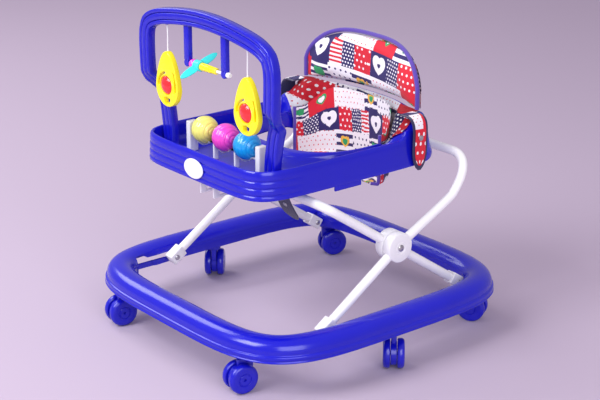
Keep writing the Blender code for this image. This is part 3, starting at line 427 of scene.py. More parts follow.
def printedPatchwork():
    settings = printSettings
    crimson, navy, cream = settings["crimson"], settings["navy"], settings["cream"]
    material, tree = newMaterial("printedCotton")
    shader = tree.nodes["Principled BSDF"]
    place = put(tree, "ShaderNodeTexCoord")
    turned = put(tree, "ShaderNodeMapping")
    turned.inputs["Rotation"].default_value = (0, 0, radians(settings["turn"]))
    tree.links.new(place.outputs["UV"], turned.inputs["Vector"])
    flat = turned.outputs["Vector"]
    split = put(tree, "ShaderNodeSeparateXYZ")
    tree.links.new(flat, split.inputs[0])
    level = maths(tree, "DIVIDE", split.outputs[1], settings["row"])
    row = maths(tree, "FLOOR", level)
    v = maths(tree, "SUBTRACT", maths(tree, "FRACT", level), 0.5)

    def spots(pitch, size, ground, dot):
        node = useGroup(tree, dotGroup, {"Pitch": pitch, "Size": size}, {"Vector": flat})
        return mixColour(tree, node.outputs["Mask"], ground, dot)

    def stripes(axis, count, ground, ink):
        wave = maths(tree, "GREATER_THAN", maths(tree, "FRACT", maths(tree, "MULTIPLY", axis, count)), 0.5)
        return mixColour(tree, wave, ground, ink)

    def motif(along, start, width, sizes, inks, ground):
        # nested hearts about the middle of the patch
        local = put(tree, "ShaderNodeCombineXYZ")
        tree.links.new(maths(tree, "DIVIDE", maths(tree, "SUBTRACT", along, start + width / 2), settings["row"]), local.inputs[0])
        tree.links.new(v, local.inputs[1])
        for size, ink in zip(sizes, inks):
            mark = useGroup(tree, heartGroup, {"Size": size}, {"Vector": local.outputs[0]})
            ground = mixColour(tree, mark.outputs["Mask"], ground, ink)
        return ground

    def band(period, shift, patches):
        along = maths(tree, "FLOORED_MODULO", maths(tree, "MULTIPLY_ADD", row, shift, split.outputs[0]), period)
        colour, start = None, 0.0
        for width, paint in patches:
            paint = paint(along, start, width)
            colour = paint if colour is None else mixColour(tree, maths(tree, "GREATER_THAN", along, start), colour, paint)
            start += width
        return colour

    upper = band(0.300, 0.031, (
        (0.034, lambda p, s, w: spots(0.0066, 0.27, navy, cream)),
        (0.080, lambda p, s, w: spots(0.0115, 0.20, crimson, cream)),
        (0.050, lambda p, s, w: motif(p, s, w, (0.33, 0.08), (cream, navy), navy)),
        (0.026, lambda p, s, w: stripes(v, 6.0, cream, crimson)),
        (0.030, lambda p, s, w: spots(0.0066, 0.27, navy, cream)),
        (0.034, lambda p, s, w: spots(0.0115, 0.20, crimson, cream)),
        (0.046, lambda p, s, w: motif(p, s, w, (0.33, 0.08), (cream, navy), navy)),
    ))
    lower = band(0.280, 0.043, (
        (0.044, lambda p, s, w: motif(p, s, w, (0.22, 0.12), (settings["corn"], settings["leaf"]), stripes(v, 3.0, cream, navy))),
        (0.086, lambda p, s, w: spots(0.0098, 0.13, cream, crimson)),
        (0.056, lambda p, s, w: motif(p, s, w, (0.20, 0.13), (settings["leaf"], cream), crimson)),
        (0.040, lambda p, s, w: motif(p, s, w, (0.20,), (settings["leaf"],), stripes(v, 4.0, cream, navy))),
        (0.054, lambda p, s, w: spots(0.0120, 0.18, cream, navy)),
    ))
    parity = maths(tree, "FLOORED_MODULO", row, 2.0)
    colour = mixColour(tree, maths(tree, "GREATER_THAN", parity, 0.5), lower, upper)
    cloth = useGroup(tree, weaveGroup, {"Threads": 1500.0}, {"Vector": flat, "Base": colour})
    tree.links.new(cloth.outputs["Color"], shader.inputs["Base Color"])
    relief = put(tree, "ShaderNodeBump")
    relief.inputs["Strength"].default_value = 0.3
    relief.inputs["Distance"].default_value = 0.0003
    tree.links.new(cloth.outputs["Height"], relief.inputs["Height"])
    tree.links.new(relief.outputs["Normal"], shader.inputs["Normal"])
    shader.inputs["Roughness"].default_value = 0.8
    shader.inputs["Sheen Weight"].default_value = 0.1
    return {"material": material, "slot": "printed_cotton"}


bluePlastic = moulded("bluePlastic", "blue_plastic", (0.005, 0.006, 0.48), 0.24, 0.015, coat=0.1)
whitePlastic = moulded("whitePlastic", "white_plastic", (0.83, 0.83, 0.86), 0.34, 0.0)
powderCoat = moulded("powderCoat", "white_powder_coat", (0.86, 0.86, 0.88), 0.30, 0.0, 1600.0, 0.05)
zincSteel = brushedZinc()
yellowPlastic = moulded("yellowPlastic", "yellow_plastic", (0.98, 0.84, 0.012), 0.26, 0.05)
redPlastic = moulded("redPlastic", "red_plastic", (0.82, 0.02, 0.025), 0.2, 0.05, coat=0.4)
pinkPlastic = moulded("pinkPlastic", "pink_plastic", (0.92, 0.08, 0.60), 0.22, 0.05, coat=0.4, through=0.25)
cyanPlastic = moulded("cyanPlastic", "cyan_plastic", (0.05, 0.80, 0.78), 0.26, 0.05)
palePlastic = moulded("paleYellowPlastic", "pale_yellow_plastic", (0.86, 0.82, 0.20), 0.22, 0.05, coat=0.4, through=0.25)
skyPlastic = moulded("skyPlastic", "sky_plastic", (0.01, 0.34, 0.80), 0.22, 0.05, coat=0.4, through=0.2)
patchwork = printedPatchwork()
navyWeb = wovenCloth("navyWebbing", "navy_webbing", (0.014, 0.012, 0.075), 900.0)
pipingCloth = wovenCloth("violetPiping", "printed_cotton", (0.085, 0.04, 0.36), 1200.0, "Object")
whiteCord = wovenCloth("whiteCord", "white_cord", (0.85, 0.85, 0.85), 1800.0, "Object", 0.2)
print("finishes made")

# outlines shared by the base and the tray

def roundedSquare(angle, halfX, halfY, power, inset=0.0):
    c, s = cos(angle), sin(angle)
    reach = (abs(c / halfX) ** power + abs(s / halfY) ** power) ** (-1 / power)
    point = Vector((reach * c, reach * s))
    out = Vector((
        abs(point.x / halfX) ** (power - 1) / halfX * (1 if c > 0 else -1),
        abs(point.y / halfY) ** (power - 1) / halfY * (1 if s > 0 else -1),
    ))
    return point - out.normalized() * inset


def ringMesh(section, placeOf, steps, warp=0.6):
    bm = bmesh.new()
    rank = bm.verts.layers.int.new("rank")
    count = len(section)
    verts = [bm.verts.new((2 + cos(2 * pi * k / count), 0, sin(2 * pi * k / count))) for k in range(count)]
    for k, vert in enumerate(verts):
        vert[rank] = k
    edges = [bm.edges.new((verts[k], verts[(k + 1) % count])) for k in range(count)]
    bmesh.ops.spin(
        bm, geom=verts + edges, cent=(0, 0, 0), axis=(0, 0, 1), angle=2 * pi, steps=steps, use_merge=True
    )
    for vert in bm.verts:
        c, s = vert.co.x / hypot(vert.co.x, vert.co.y), vert.co.y / hypot(vert.co.x, vert.co.y)
        angle = atan2(abs(s) ** warp * (1 if s > 0 else -1), abs(c) ** warp * (1 if c > 0 else -1))
        vert.co = placeOf(angle, section[vert[rank]])
    bmesh.ops.recalc_face_normals(bm, faces=bm.faces)
    return bm


baseRing = {"halfX": 0.2856, "halfY": 0.29, "power": 4.32, "bottom": 0.067, "width": 0.054, "steps": 132}
baseSection = (
    (0.0, 0.067), (-0.0009, 0.0676), (-0.0009, 0.0694), (0.0004, 0.0702), (0.0006, 0.0716), (-0.0004, 0.0722),
    (-0.0002, 0.0775), (0.0006, 0.0786), (0.0026, 0.0792), (0.0032, 0.0800), (0.0028, 0.0850), (0.0044, 0.0915),
    (0.0085, 0.0975), (0.0145, 0.1012), (0.0220, 0.1032), (0.0300, 0.1036), (0.0380, 0.1022), (0.0450, 0.0985),
    (0.0500, 0.0935), (0.0528, 0.0885), (0.0534, 0.0860), (0.0528, 0.0846), (0.0536, 0.0836), (0.054, 0.0820),
    (0.054, 0.0672), (0.0534, 0.067), (0.0516, 0.067), (0.0512, 0.0680), (0.0505, 0.0870), (0.0450, 0.0946),
    (0.0350, 0.0994), (0.0225, 0.1005), (0.0110, 0.0960), (0.0056, 0.0880), (0.0050, 0.0805), (0.0026, 0.0780), (0.0024, 0.067),
)


def buildBase():
    settings = baseRing

    def place(angle, row):
        flat = roundedSquare(angle, settings["halfX"], settings["halfY"], settings["power"], row[0])
        return (flat.x, flat.y, row[1])

    piece = addPiece("baseRing", ringMesh(baseSection, place, settings["steps"], 0.55), bluePlastic, "base", ["base_ring"])
    applyModifiers(subdivide(piece))
    cuts = bmesh.new()
    for side in (-1, 1):
        for low, high in (
            ((0.2020, -0.199, 0.05), (0.2290, -0.095, 0.0965)),
            ((0.2280, -0.1935, 0.0775), (0.2360, -0.105, 0.0865)),
            ((0.1800, 0.184, 0.05), (0.2085, 0.2150, 0.0965)),
        ):
            if side < 0:
                low, high = (-high[0], *low[1:]), (-low[0], *high[1:])
            cube(cuts, low, high)
    cutWith(piece, cutterFrom(cuts, "footSlots"))
    piece.data.shade_smooth()
    piece.data.set_sharp_from_angle(angle=radians(38))
    # the lower lip of each foot slot, run straight on to the corner that closes it
    for side in (-1, 1):
        lip = bmesh.new()
        cube(lip, (side * 0.2325 - 0.0017, -0.2045, 0.0672), (side * 0.2325 + 0.0017, -0.1300, 0.0770))
        cube(lip, (side * 0.2278 - 0.0060, -0.2048, 0.0674), (side * 0.2278 + 0.0060, -0.1998, 0.0768))
        addPiece(f"slotLip{side}", lip, bluePlastic, "base", (), 30)
    # bosses inside the rail that take the caster stems
    for number, (x, y, _) in enumerate(casterPlaces, 1):
        boss = latheMesh([(0.0052, 0.0680), (0.0098, 0.0680), (0.0098, 0.0990), (0.0052, 0.0990), (0.0052, 0.0680)], 28, "Z", (x, y, 0))
        addPiece(f"casterBoss{number}", boss, bluePlastic, "base")
    print("base ring ready")


casterPlaces = (
    (0.176, -0.2495, -10), (-0.176, -0.2495, -10), (0.2545, 0.0, 48), (-0.2545, 0.0, 228), (0.2120, 0.2440, -60), (-0.2120, 0.2440, 160),
)
caster = {"radius": 0.0255, "width": 0.0125, "core": 0.0105, "trail": 0.012, "steps": 56}


def buildCasters():
    settings = caster
    inner = settings["core"] / 2 + 0.0008
    outer = inner + settings["width"]
    radius = settings["radius"]
    profile = [
        (0, outer - 0.0042), (0.0022, outer - 0.0042), (0.0026, outer - 0.0012), (0.0062, outer - 0.0006), (0.0094, outer - 0.0008),
        (0.0100, outer - 0.0018), (0.0110, outer - 0.0018), (0.0116, outer - 0.0008), (0.0170, outer - 0.0002), (0.0205, outer - 0.0004),
        (0.0229, outer - 0.0012), (0.0246, outer - 0.0028), (radius, outer - 0.0052), (radius, inner + 0.0030), (0.0248, inner + 0.0010),
        (0.0232, inner), (0.0060, inner), (0.0030, inner + 0.0002), (0.0030, 0),
    ]
    core = settings["core"] / 2
    coreProfile = [
        (0.0033, core), (0.0196, core), (0.0205, core - 0.0008), (0.0205, -core + 0.0008), (0.0196, -core), (0.0033, -core), (0.0033, core),
    ]
    flangeProfile = [
        (0, 0.0500), (0.0046, 0.0500), (0.0085, 0.0545), (0.0118, 0.0562), (0.0125, 0.0572), (0.0125, 0.0652), (0.0118, 0.0660),
        (0.0046, 0.0660), (0.0044, 0.0935), (0, 0.0935),
    ]
    for number, (x, y, turn) in enumerate(casterPlaces, 1):
        place = Matrix.Translation((x, y, 0)) @ Matrix.Rotation(radians(turn), 4, "Z")
        axle = (0, -settings["trail"], radius)
        wheels = latheMesh(profile + [(r, -h) for r, h in reversed(profile[:-1])], settings["steps"], "X", axle)
        wheels.transform(place)
        addPiece(f"casterWheels{number}", wheels, bluePlastic, f"wheels_{number}", [f"caster_wheels_{number}"], 32)
        body = latheMesh(coreProfile, 48, "X", axle)
        neck = cube(body, (-core + 0.0006, -settings["trail"] - 0.006, radius + 0.008), (core - 0.0006, 0.0100, 0.0575))
        bmesh.ops.bevel(
            body, geom=list({edge for vert in neck for edge in vert.link_edges}), offset=0.0022, segments=3, profile=0.5,
            affect="EDGES", material=-1,
        )
        flange = latheMesh(flangeProfile, 40)
        spare = bpy.data.meshes.new("flange")
        flange.to_mesh(spare)
        flange.free()
        body.from_mesh(spare)
        bpy.data.meshes.remove(spare)
        body.transform(place)
        addPiece(f"casterBody{number}", body, bluePlastic, f"caster_{number}", [f"caster_body_{number}"], 32)
    print("casters ready")


frameTubes = {"radius": 0.008, "outer": 0.2145, "inner": 0.196, "hub": (0.0405, 0.189)}


def tubeRun(plane, end, knee, bar, corner):
    leg = [Vector((plane, *point)) for point in (end, frameTubes["hub"])]
    if knee:
        leg += smoothRun([leg[-1]] + [Vector((plane, *point)) for point in knee], 5)[1:]
    turn = Vector((plane, *bar))
    start = turn + (leg[-1] - turn).normalized() * corner
    last = turn - Vector((corner, 0, 0))
    bend = [start.lerp(turn, t / 14).lerp(turn.lerp(last, t / 14), t / 14) for t in range(15)]
    half = leg + bend
    return half + [Vector((-p.x, p.y, p.z)) for p in reversed(half)]


def buildFrames():
    settings = frameTubes
    hub = Vector(settings["hub"])
    rear, front = Vector((0.200, 0.082)), Vector((-0.119, 0.082))
    rearEnd = rear + (hub - rear).normalized() * 0.0075
    frontEnd = front + (hub - front).normalized() * 0.0075
    inner = tubeRun(settings["inner"], rearEnd, (), (-0.105, 0.2866), 0.034)
    outer = tubeRun(settings["outer"], frontEnd, ((0.150, 0.2455), (0.170, 0.2600), (0.183, 0.2780)), (0.202, 0.317), 0.042)
    dressMesh("innerTube", curveMesh("innerTube", inner, settings["radius"], 8), powderCoat, "inner_frame", ["inner_tube"], 50)
    dressMesh("outerTube", curveMesh("outerTube", outer, settings["radius"], 8), powderCoat, "outer_frame", ["outer_tube"], 50)
    disc = [
        (0, 0.0066), (0.0048, 0.0066), (0.0052, 0.0090), (0.0085, 0.0092), (0.0092, 0.0084), (0.0104, 0.0084), (0.0112, 0.0090),
        (0.0236, 0.0090), (0.0252, 0.0084), (0.0260, 0.0070), (0.0260, -0.0070), (0.0252, -0.0084), (0.0236, -0.0090), (0, -0.0090),
    ]
    for side, label in ((1, "left"), (-1, "right")):
        for body, plane in (("inner", settings["inner"]), ("outer", settings["outer"])):
            bm = latheMesh(disc, 56, "X")
            if side < 0:
                bm.transform(Matrix.Rotation(pi, 4, "Z"))
            bm.transform(Matrix.Translation((side * plane, *hub)))
            addPiece(f"{body}Hub{side}", bm, whitePlastic, f"{body}_frame", [f"{body}_hub_{label}"], 30)
    print("tube frames ready")


def carryOver(node, finish, body, width=0.0, angle=32):
    source = frame["nodes"][node]
    bm = bmesh.new()
    bm.from_mesh(source.data)
    bmesh.ops.remove_doubles(bm, verts=bm.verts, dist=0.00002)
    bmesh.ops.dissolve_limit(bm, angle_limit=radians(2), verts=bm.verts, edges=bm.edges)
    bm.transform(source.matrix_world)
    piece = addPiece("fine_" + node, bm, finish, body, [node], angle)
    if width:
        modifier = piece.modifiers.new("Round", "BEVEL")
        modifier.width = width
        modifier.segments = 2
        modifier.limit_method = "ANGLE"
        modifier.angle_limit = radians(35)
        applyModifiers(piece)
        piece.data.shade_smooth()
        piece.data.set_sharp_from_angle(angle=radians(angle))
    return piece


tray = {"halfX": 0.1745, "front": -0.2216, "rear": 0.190, "power": 7.0, "steps": 152, "grooves": (0.314, 0.326, 0.338), "depth": 0.0016}
opening = {"y": 0.052, "halfX": 0.124, "halfY": 0.112, "power": 2.6}
trayRows = [
    ((0, 0.0000, 0.3050), (0, 0.0000, 0.3050), (0.00, 0, 0.3140)),
    ((0, 0.0025, 0.3500), (0, 0.0035, 0.3500), (0.12, 0, 0.3370)),
    ((0, 0.0045, 0.3550), (0, 0.0050, 0.3610), (0.25, 0, 0.3620)),
    ((0, 0.0085, 0.3550), (0, 0.0080, 0.3655), (0.45, 0, 0.3800)),
    ((0, 0.0100, 0.3500), (0, 0.0120, 0.3670), (0.68, 0, 0.3910)),
    ((0, 0.0105, 0.3255), (0.30, 0, 0.3660), (0.76, 0, 0.3900)),
    ((0, 0.0140, 0.3220), (0.50, 0, 0.3610), (0.80, 0, 0.3870)),
    ((0.82, 0, 0.3220), (0.72, 0, 0.3500), (0.86, 0, 0.3800)),
    ((0.85, 0, 0.3400), (0.80, 0, 0.3430), (0.90, 0, 0.3720)),
    ((0.89, 0, 0.3425), (0.88, 0, 0.3350), (0.94, 0, 0.3600)),
    ((0.985, 0, 0.3425), (0.975, 0, 0.3260), (0.985, 0, 0.3400)),
    ((1, 0, 0.3390), (1, 0, 0.3190), (1, 0, 0.3300)),
    ((1, 0, 0.3120), (1, 0, 0.3080), (1, 0, 0.3120)),
    ((0.97, 0, 0.3120), (0.96, 0, 0.3080), (0.95, 0, 0.3120)),
    ((0.97, 0, 0.3380), (0.95, 0, 0.3190), (0.93, 0, 0.3400)),
    ((0.885, 0, 0.3375), (0.85, 0, 0.3270), (0.85, 0, 0.3680)),
    ((0.86, 0, 0.3194), (0.70, 0, 0.3410), (0.74, 0, 0.3820)),
    ((0, 0.0080, 0.3194), (0.26, 0, 0.3570), (0.62, 0, 0.3820)),
    ((0, 0.0042, 0.3050), (0, 0.0050, 0.3050), (0.16, 0, 0.3140)),
]


def openingPoint(angle, inset=0.0):
    flat = roundedSquare(angle, opening["halfX"], opening["halfY"], opening["power"], inset)
    return Vector((flat.x, flat.y + opening["y"]))


def traySpoke(angle, share, inset):
    middle = (tray["front"] + tray["rear"]) / 2
    outer = roundedSquare(angle, tray["halfX"], (tray["rear"] - tray["front"]) / 2, tray["power"], inset) + Vector((0, middle))
    return outer.lerp(openingPoint(atan2(outer.y - opening["y"], outer.x)), share)


def trayPlace(angle, row):
    front, arm, back = row[:3]
    edge = traySpoke(angle, 0, 0)
    arms = ease(0.082, 0.106, edge.y)
    rear = ease(0.150, tray["rear"], edge.y)
    rise = ease(0.108, 0.148, edge.y)
    share = front[0] + (arm[0] - front[0]) * arms
    inset = front[1] + (arm[1] - front[1]) * arms
    share += (back[0] - share) * (rise if arm[0] >= 0.5 else rear)
    inset += (back[1] - inset) * rear
    if len(row) > 3:
        inset += row[3] * ease(-0.120, -0.175, edge.y) if edge.y < 0 else 0
    flat = traySpoke(angle, share, inset)
    height = front[2] + (arm[2] - front[2]) * arms
    height += (back[2] - height) * (rise if height > 0.307 else rear)
    return (flat.x, flat.y, height)


def buildTray():
    rows = [trayRows[0]]
    low, high = trayRows[0], trayRows[1]
    for level in tray["grooves"]:
        for step, depth in ((-0.0018, 0), (-0.0007, 1), (0.0007, 1), (0.0018, 0)):
            part = (level + step - 0.305) / 0.045
            mixed = tuple(tuple(a + (b - a) * part for a, b in zip(low[k], high[k])) for k in range(3))
            rows.append((*mixed, tray["depth"] * depth))
    rows += trayRows[1:]
    piece = addPiece("playTray", ringMesh(rows, trayPlace, tray["steps"], 0.6), bluePlastic, "play_tray", ["tray"])
    applyModifiers(subdivide(piece))
    piece.data.shade_smooth()
    for side in (-1, 1):
        bm = bmesh.new()
        lug = cube(bm, (side * 0.1716 - 0.0019, -0.062, 0.2975), (side * 0.1716 + 0.0019, -0.005, 0.3070))
        bmesh.ops.bevel(bm, geom=list({e for v in lug for e in v.link_edges}), offset=0.0012, segments=3, profile=0.5, affect="EDGES", material=-1)
        addPiece(f"trayLug{side}", bm, bluePlastic, "play_tray")
    oval = [(0.026 * cos(2 * pi * k / 64), 0.0165 * sin(2 * pi * k / 64)) for k in range(64)]
    badge = plateMesh("trayBadge", [oval], 0.0024, 0.0010)
    badge.transform(Matrix.Translation((0, -0.2216 - 0.0004, 0.3265)) @ Matrix.Rotation(pi / 2 - 0.055, 4, "X"))
    dressMesh("trayBadge", badge, whitePlastic, "play_tray", ["tray_badge"])
    print("tray ready")


arch = {"front": -0.1995, "depth": 0.0165, "width": 0.027, "setBack": 0.024, "stepLow": 0.424, "stepHigh": 0.450}


def buildArch():
    settings = arch
    half = [
        (0.1422, 0.3225), (0.1428, 0.356), (0.1500, 0.400), (0.1580, 0.424), (0.1640, 0.437), (0.1700, 0.450), (0.1720, 0.480),
        (0.1722, 0.510), (0.1690, 0.530), (0.1585, 0.5445), (0.1280, 0.5565), (0.0700, 0.5660), (0.0300, 0.5697), (0.0, 0.5705),
    ]
    line = smoothRun(half + [(-x, z) for x, z in reversed(half[:-1])], 5)
    w, d = settings["width"] / 2, settings["depth"] / 2
    section = [
        (w, d - 0.0015), (w, -d + 0.0024), (w - 0.0004, -d + 0.0008), (w - 0.0016, -d), (w - 0.0058, -d), (w - 0.0068, -d + 0.0006),
        (w - 0.0076, -d + 0.0030), (w - 0.0084, -d + 0.0006), (w - 0.0094, -d), (-w + 0.0094, -d), (-w + 0.0084, -d + 0.0006),
        (-w + 0.0076, -d + 0.0030), (-w + 0.0068, -d + 0.0006), (-w + 0.0058, -d), (-w + 0.0016, -d), (-w + 0.0004, -d + 0.0008),
        (-w, -d + 0.0024), (-w, d - 0.0015), (-w + 0.0015, d), (w - 0.0015, d),
    ]
    bm = bmesh.new()
    loops = []
    for k, centre in enumerate(line):
        way = (line[min(k + 1, len(line) - 1)] - line[max(k - 1, 0)]).normalized()
        if k in (0, len(line) - 1):
            way = Vector((0, 1 if k == 0 else -1))
        normal = Vector((-way.y, way.x))
        back = settings["setBack"] * (1 - ease(settings["stepLow"] - 0.006, settings["stepHigh"] + 0.006, centre.y))
        verts = []
        for across, depth in section:
            flat = centre + normal * across
            verts.append(bm.verts.new((flat.x, settings["front"] + d + back + depth, flat.y)))
        loops.append([bm.edges.new((verts[n - 1], verts[n])) for n in range(len(verts))])
    for first, second in zip(loops, loops[1:]):
        bmesh.ops.bridge_loops(bm, edges=first + second)
    for ends in (loops[0], loops[-1]):
        bmesh.ops.contextual_create(bm, geom=ends)
    bmesh.ops.recalc_face_normals(bm, faces=bm.faces)
    addPiece("toyArch", bm, bluePlastic, "play_tray", ["toy_arch"], 50)
    middle = settings["front"] + d
    for side in (-1, 1):
        post = bmesh.new()
        x = side * 0.051
        cube(post, (x - 0.0068, middle - 0.0045, 0.4960), (x + 0.0068, middle + 0.0045, 0.5620))
        bmesh.ops.bevel(post, geom=post.edges[:], offset=0.0014, segments=3, profile=0.5, affect="EDGES", material=-1)
        tip = latheMesh([(0, 0.0045), (0.0060, 0.0045), (0.0068, 0.0037), (0.0068, -0.0037), (0.0060, -0.0045), (0, -0.0045)], 32, "Y", (x, middle, 0.492))
        addPiece(f"postTip{side}", tip, bluePlastic, "play_tray", (), 30)
        addPiece(f"toyPost{side}", post, bluePlastic, "play_tray", (), 30)
        knob = latheMesh([(0, 0.5454), (0.0040, 0.5456), (0.0052, 0.5470), (0.0052, 0.5495), (0.0044, 0.5600), (0, 0.5600)], 28, "Z", (side * 0.11, middle, 0))
        addPiece(f"stringKnob{side}", knob, bluePlastic, "play_tray")
    print("toy arch ready")


plane = {"y": -0.19125, "z": 0.492, "lean": 22}


def buildPlane():
    y, z = plane["y"], plane["z"]
    body = "toy_plane"
    rod = [(0, -0.0585), (0.0024, -0.0585), (0.0026, -0.0580), (0.0026, 0.0560), (0.0042, 0.0562), (0.0046, 0.0580), (0.0046, 0.0625), (0.0036, 0.0640), (0, 0.0640)]
    addPiece("planeRod", latheMesh(rod, 28, "X", (0, y, z)), whitePlastic, body, ["plane_spindle"])
    tail = [(0.0027, 0.0290), (0.0050, 0.0286), (0.0056, 0.0270), (0.0056, 0.0150), (0.0060, 0.0140), (0.0064, 0.0000), (0.0066, -0.0120), (0.0060, -0.0130), (0.0027, -0.0130), (0.0027, 0.0290)]
    addPiece("planeTail", latheMesh(tail, 36, "X", (0, y, z)), yellowPlastic, body, ["plane_tail"], 30)
    nose = [(0.0029, -0.0306), (0.0066, -0.0306), (0.0084, -0.0330), (0.0086, -0.0360), (0.0076, -0.0396), (0.0054, -0.0418), (0.0029, -0.0420), (0.0029, -0.0306)]
    addPiece("planeNose", latheMesh(nose, 36, "X", (0, y, z)), pinkPlastic, body, ["plane_nose"], 50)
    bm = latheMesh([(0.0029, -0.0144), (0.0082, -0.0144), (0.0090, -0.0154), (0.0090, -0.0282), (0.0082, -0.0292), (0.0029, -0.0292), (0.0029, -0.0144)], 36, "X", (0, y, z))
    addPiece("planeHub", bm, cyanPlastic, body, (), 30)
    outline = []
    for k in range(56):
        t = 2 * pi * k / 56
        outline.append((0.0082 * sin(t) * (0.70 + 0.30 * abs(cos(t))), 0.0400 * cos(t)))
    for part, sign in (("A", 1), ("B", -1)):
        half = [(px, max(py * sign, 0.0085) * sign) for px, py in outline if py * sign > 0.004]
        wing = plateMesh(f"planeWing{part}", [half], 0.0032, 0.0012)
        wing.transform(Matrix.Rotation(pi / 2, 4, "Y") @ Matrix.Rotation(radians(-35), 4, "Y"))
        wing.transform(Matrix.Translation((-0.0215, y, z)) @ Matrix.Rotation(radians(plane["lean"]), 4, "X"))
        piece = dressMesh(f"planeWing{part}", wing, cyanPlastic, body, ["plane_blades"] if sign > 0 else ())
    print("toy plane ready")


pendant = {"x": 0.11, "y": -0.19125, "middle": 0.4375, "thick": 0.0105}


def buildPendants():
    outline = []
    for k in range(72):
        t = 2 * pi * k / 72
        height = cos(t) * (0.0620 if cos(t) > 0 else 0.0337)
        outline.append((0.0320 * sin(t) * (1 - 0.24 * max(cos(t), 0)), height))
    crescent = [(0.0268 * cos(radians(98 + 80 * k / 16)), 0.0268 * sin(radians(98 + 80 * k / 16))) for k in range(17)]
    crescent += [(0.0208 * cos(radians(178 - 80 * k / 16)), 0.0208 * sin(radians(178 - 80 * k / 16))) for k in range(17)]
    slit = [(0.0215, -0.006), (0.0265, -0.004), (0.0268, 0.008), (0.0215, 0.0275), (0.0165, 0.0290), (0.0205, 0.0170)]
    wedge = [(-0.0080, -0.0285), (0.0070, -0.0285), (0.0095, -0.0195), (0.0, -0.0168), (-0.0095, -0.0195)]
    seatHole = [(0.0162 * cos(2 * pi * k / 40), 0.004 + 0.0162 * sin(2 * pi * k / 40)) for k in range(40)]
    dome = [(0, 0.0118), (0.0030, 0.0116), (0.0062, 0.0108), (0.0094, 0.0095), (0.0122, 0.0078), (0.0142, 0.0062), (0.0156, 0.0048), (0.0160, 0.0030),
            (0.0160, -0.0030), (0.0156, -0.0048), (0.0142, -0.0062), (0.0122, -0.0078), (0.0062, -0.0104), (0, -0.0110)]
    ringProfile = [(0.0163, 0.0048), (0.0170, 0.0062), (0.0184, 0.0062), (0.0192, 0.0050), (0.0192, -0.0050), (0.0184, -0.0062), (0.0170, -0.0062), (0.0163, -0.0048), (0.0163, 0.0048)]
    for side, label in ((1, "left"), (-1, "right")):
        centre = Vector((side * pendant["x"], pendant["y"], pendant["middle"]))
        mesh = plateMesh(f"pendantPlate{side}", [outline, crescent, slit, wedge, seatHole], pendant["thick"], 0.0014)
        mesh.transform(Matrix.Translation(centre) @ Matrix.Rotation(pi / 2, 4, "X"))
        body = f"pendant_{label}_swing"
        dressMesh(f"pendantPlate{side}", mesh, yellowPlastic, body, [f"pendant_{label}"])
        jewel = centre + Vector((0, 0, 0.004))
        addPiece(f"pendantRing{side}", latheMesh(ringProfile, 48, "Y", jewel), yellowPlastic, body, (), 50)
        addPiece(f"pendantDome{side}", latheMesh(dome, 48, "Y", jewel), redPlastic, body, [f"pendant_jewel_{label}"], 50)
        top = Vector((centre.x, centre.y, 0.5438))
        run = smoothRun([top, (centre.x + 0.0003, centre.y, 0.530), (centre.x - 0.0003, centre.y, 0.512), (centre.x, centre.y, 0.4960)], 8)
        dressMesh(f"pendantString{side}", curveMesh(f"pendantString{side}", run, 0.0011, 4), whiteCord, body, [f"pendant_string_{label}"])
        knot = latheMesh([(0, 0.0016), (0.0012, 0.0013), (0.0018, 0), (0.0012, -0.0013), (0, -0.0016)], 16, "Z", (centre.x, centre.y, 0.5008))
        addPiece(f"pendantKnot{side}", knot, whiteCord, body)
    print("pendants ready")


rattle = {"radius": 0.0235, "pitch": 0.0585, "y": -0.155, "z": 0.3675, "ridges": 9}


def buildRattle():
    settings = rattle
    profile = [(0.0028, 0.0232), (0.0040, 0.0234)]
    for k in range(3, 62):
        t = pi * k / 64
        groove = 0.0011 * max(cos(2 * settings["ridges"] * t), 0) ** 3
        profile.append(((settings["radius"] - groove) * sin(t), (settings["radius"] - groove) * cos(t)))
    profile += [(0.0040, -0.0234), (0.0028, -0.0232), (0.0028, 0.0232)]
    for step, label, finish in ((-1, "yellow", palePlastic), (0, "pink", pinkPlastic), (1, "blue", skyPlastic)):
        ball = latheMesh(profile, 56, "X", (step * settings["pitch"], settings["y"], settings["z"]))
        addPiece(f"ball{label.title()}", ball, finish, f"rattle_{label}", [f"ball_{label}"], 40)
    y0, z0, pitch = settings["y"], settings["z"], settings["pitch"]
    path = [(-0.0915, z0 - 0.0150)]
    for step in (-1, 0, 1):
        path += [(step * pitch + 0.0250 * cos(radians(a)), z0 + 0.0250 * sin(radians(a))) for a in range(215, 326, 5)]
    path.append((0.0915, z0 - 0.0150))
    cradle = bmesh.new()
    strip = [[cradle.verts.new((x, y0 + dy, z)) for dy in (-0.0080, 0.0080)] for x, z in path]
    for (a, b), (c, d) in zip(strip, strip[1:]):
        cradle.faces.new((a, b, d, c))
    bmesh.ops.solidify(cradle, geom=cradle.faces[:], thickness=-0.0030)
    bmesh.ops.recalc_face_normals(cradle, faces=cradle.faces)
    addPiece("rattleCradle", cradle, whitePlastic, "play_tray", ["ball_rack"], 50)
    for number, x in enumerate((-0.0965, -pitch / 2, pitch / 2, 0.0965)):
        post = bmesh.new()
        wide, deep, top = (0.0058, 0.0088, 0.3753) if abs(x) > 0.05 else (0.0022, 0.0046, z0 - 0.0160)
        cube(post, (x - wide, y0 - deep, 0.3214), (x + wide, y0 + deep, top))
        bmesh.ops.bevel(post, geom=post.edges[:], offset=min(wide, 0.003) * 0.6, segments=3, profile=0.5, affect="EDGES", material=-1)
        addPiece(f"rattlePost{number}", post, whitePlastic, "play_tray", (), 35)
    rod = [(0, -0.0961), (0.0024, -0.0961), (0.0024, 0.0961), (0, 0.0961)]
    addPiece("rattleRod", latheMesh(rod, 24, "X", (0, settings["y"], settings["z"])), zincSteel, "play_tray", ["ball_rod"], 30)
    print("rattle ready")


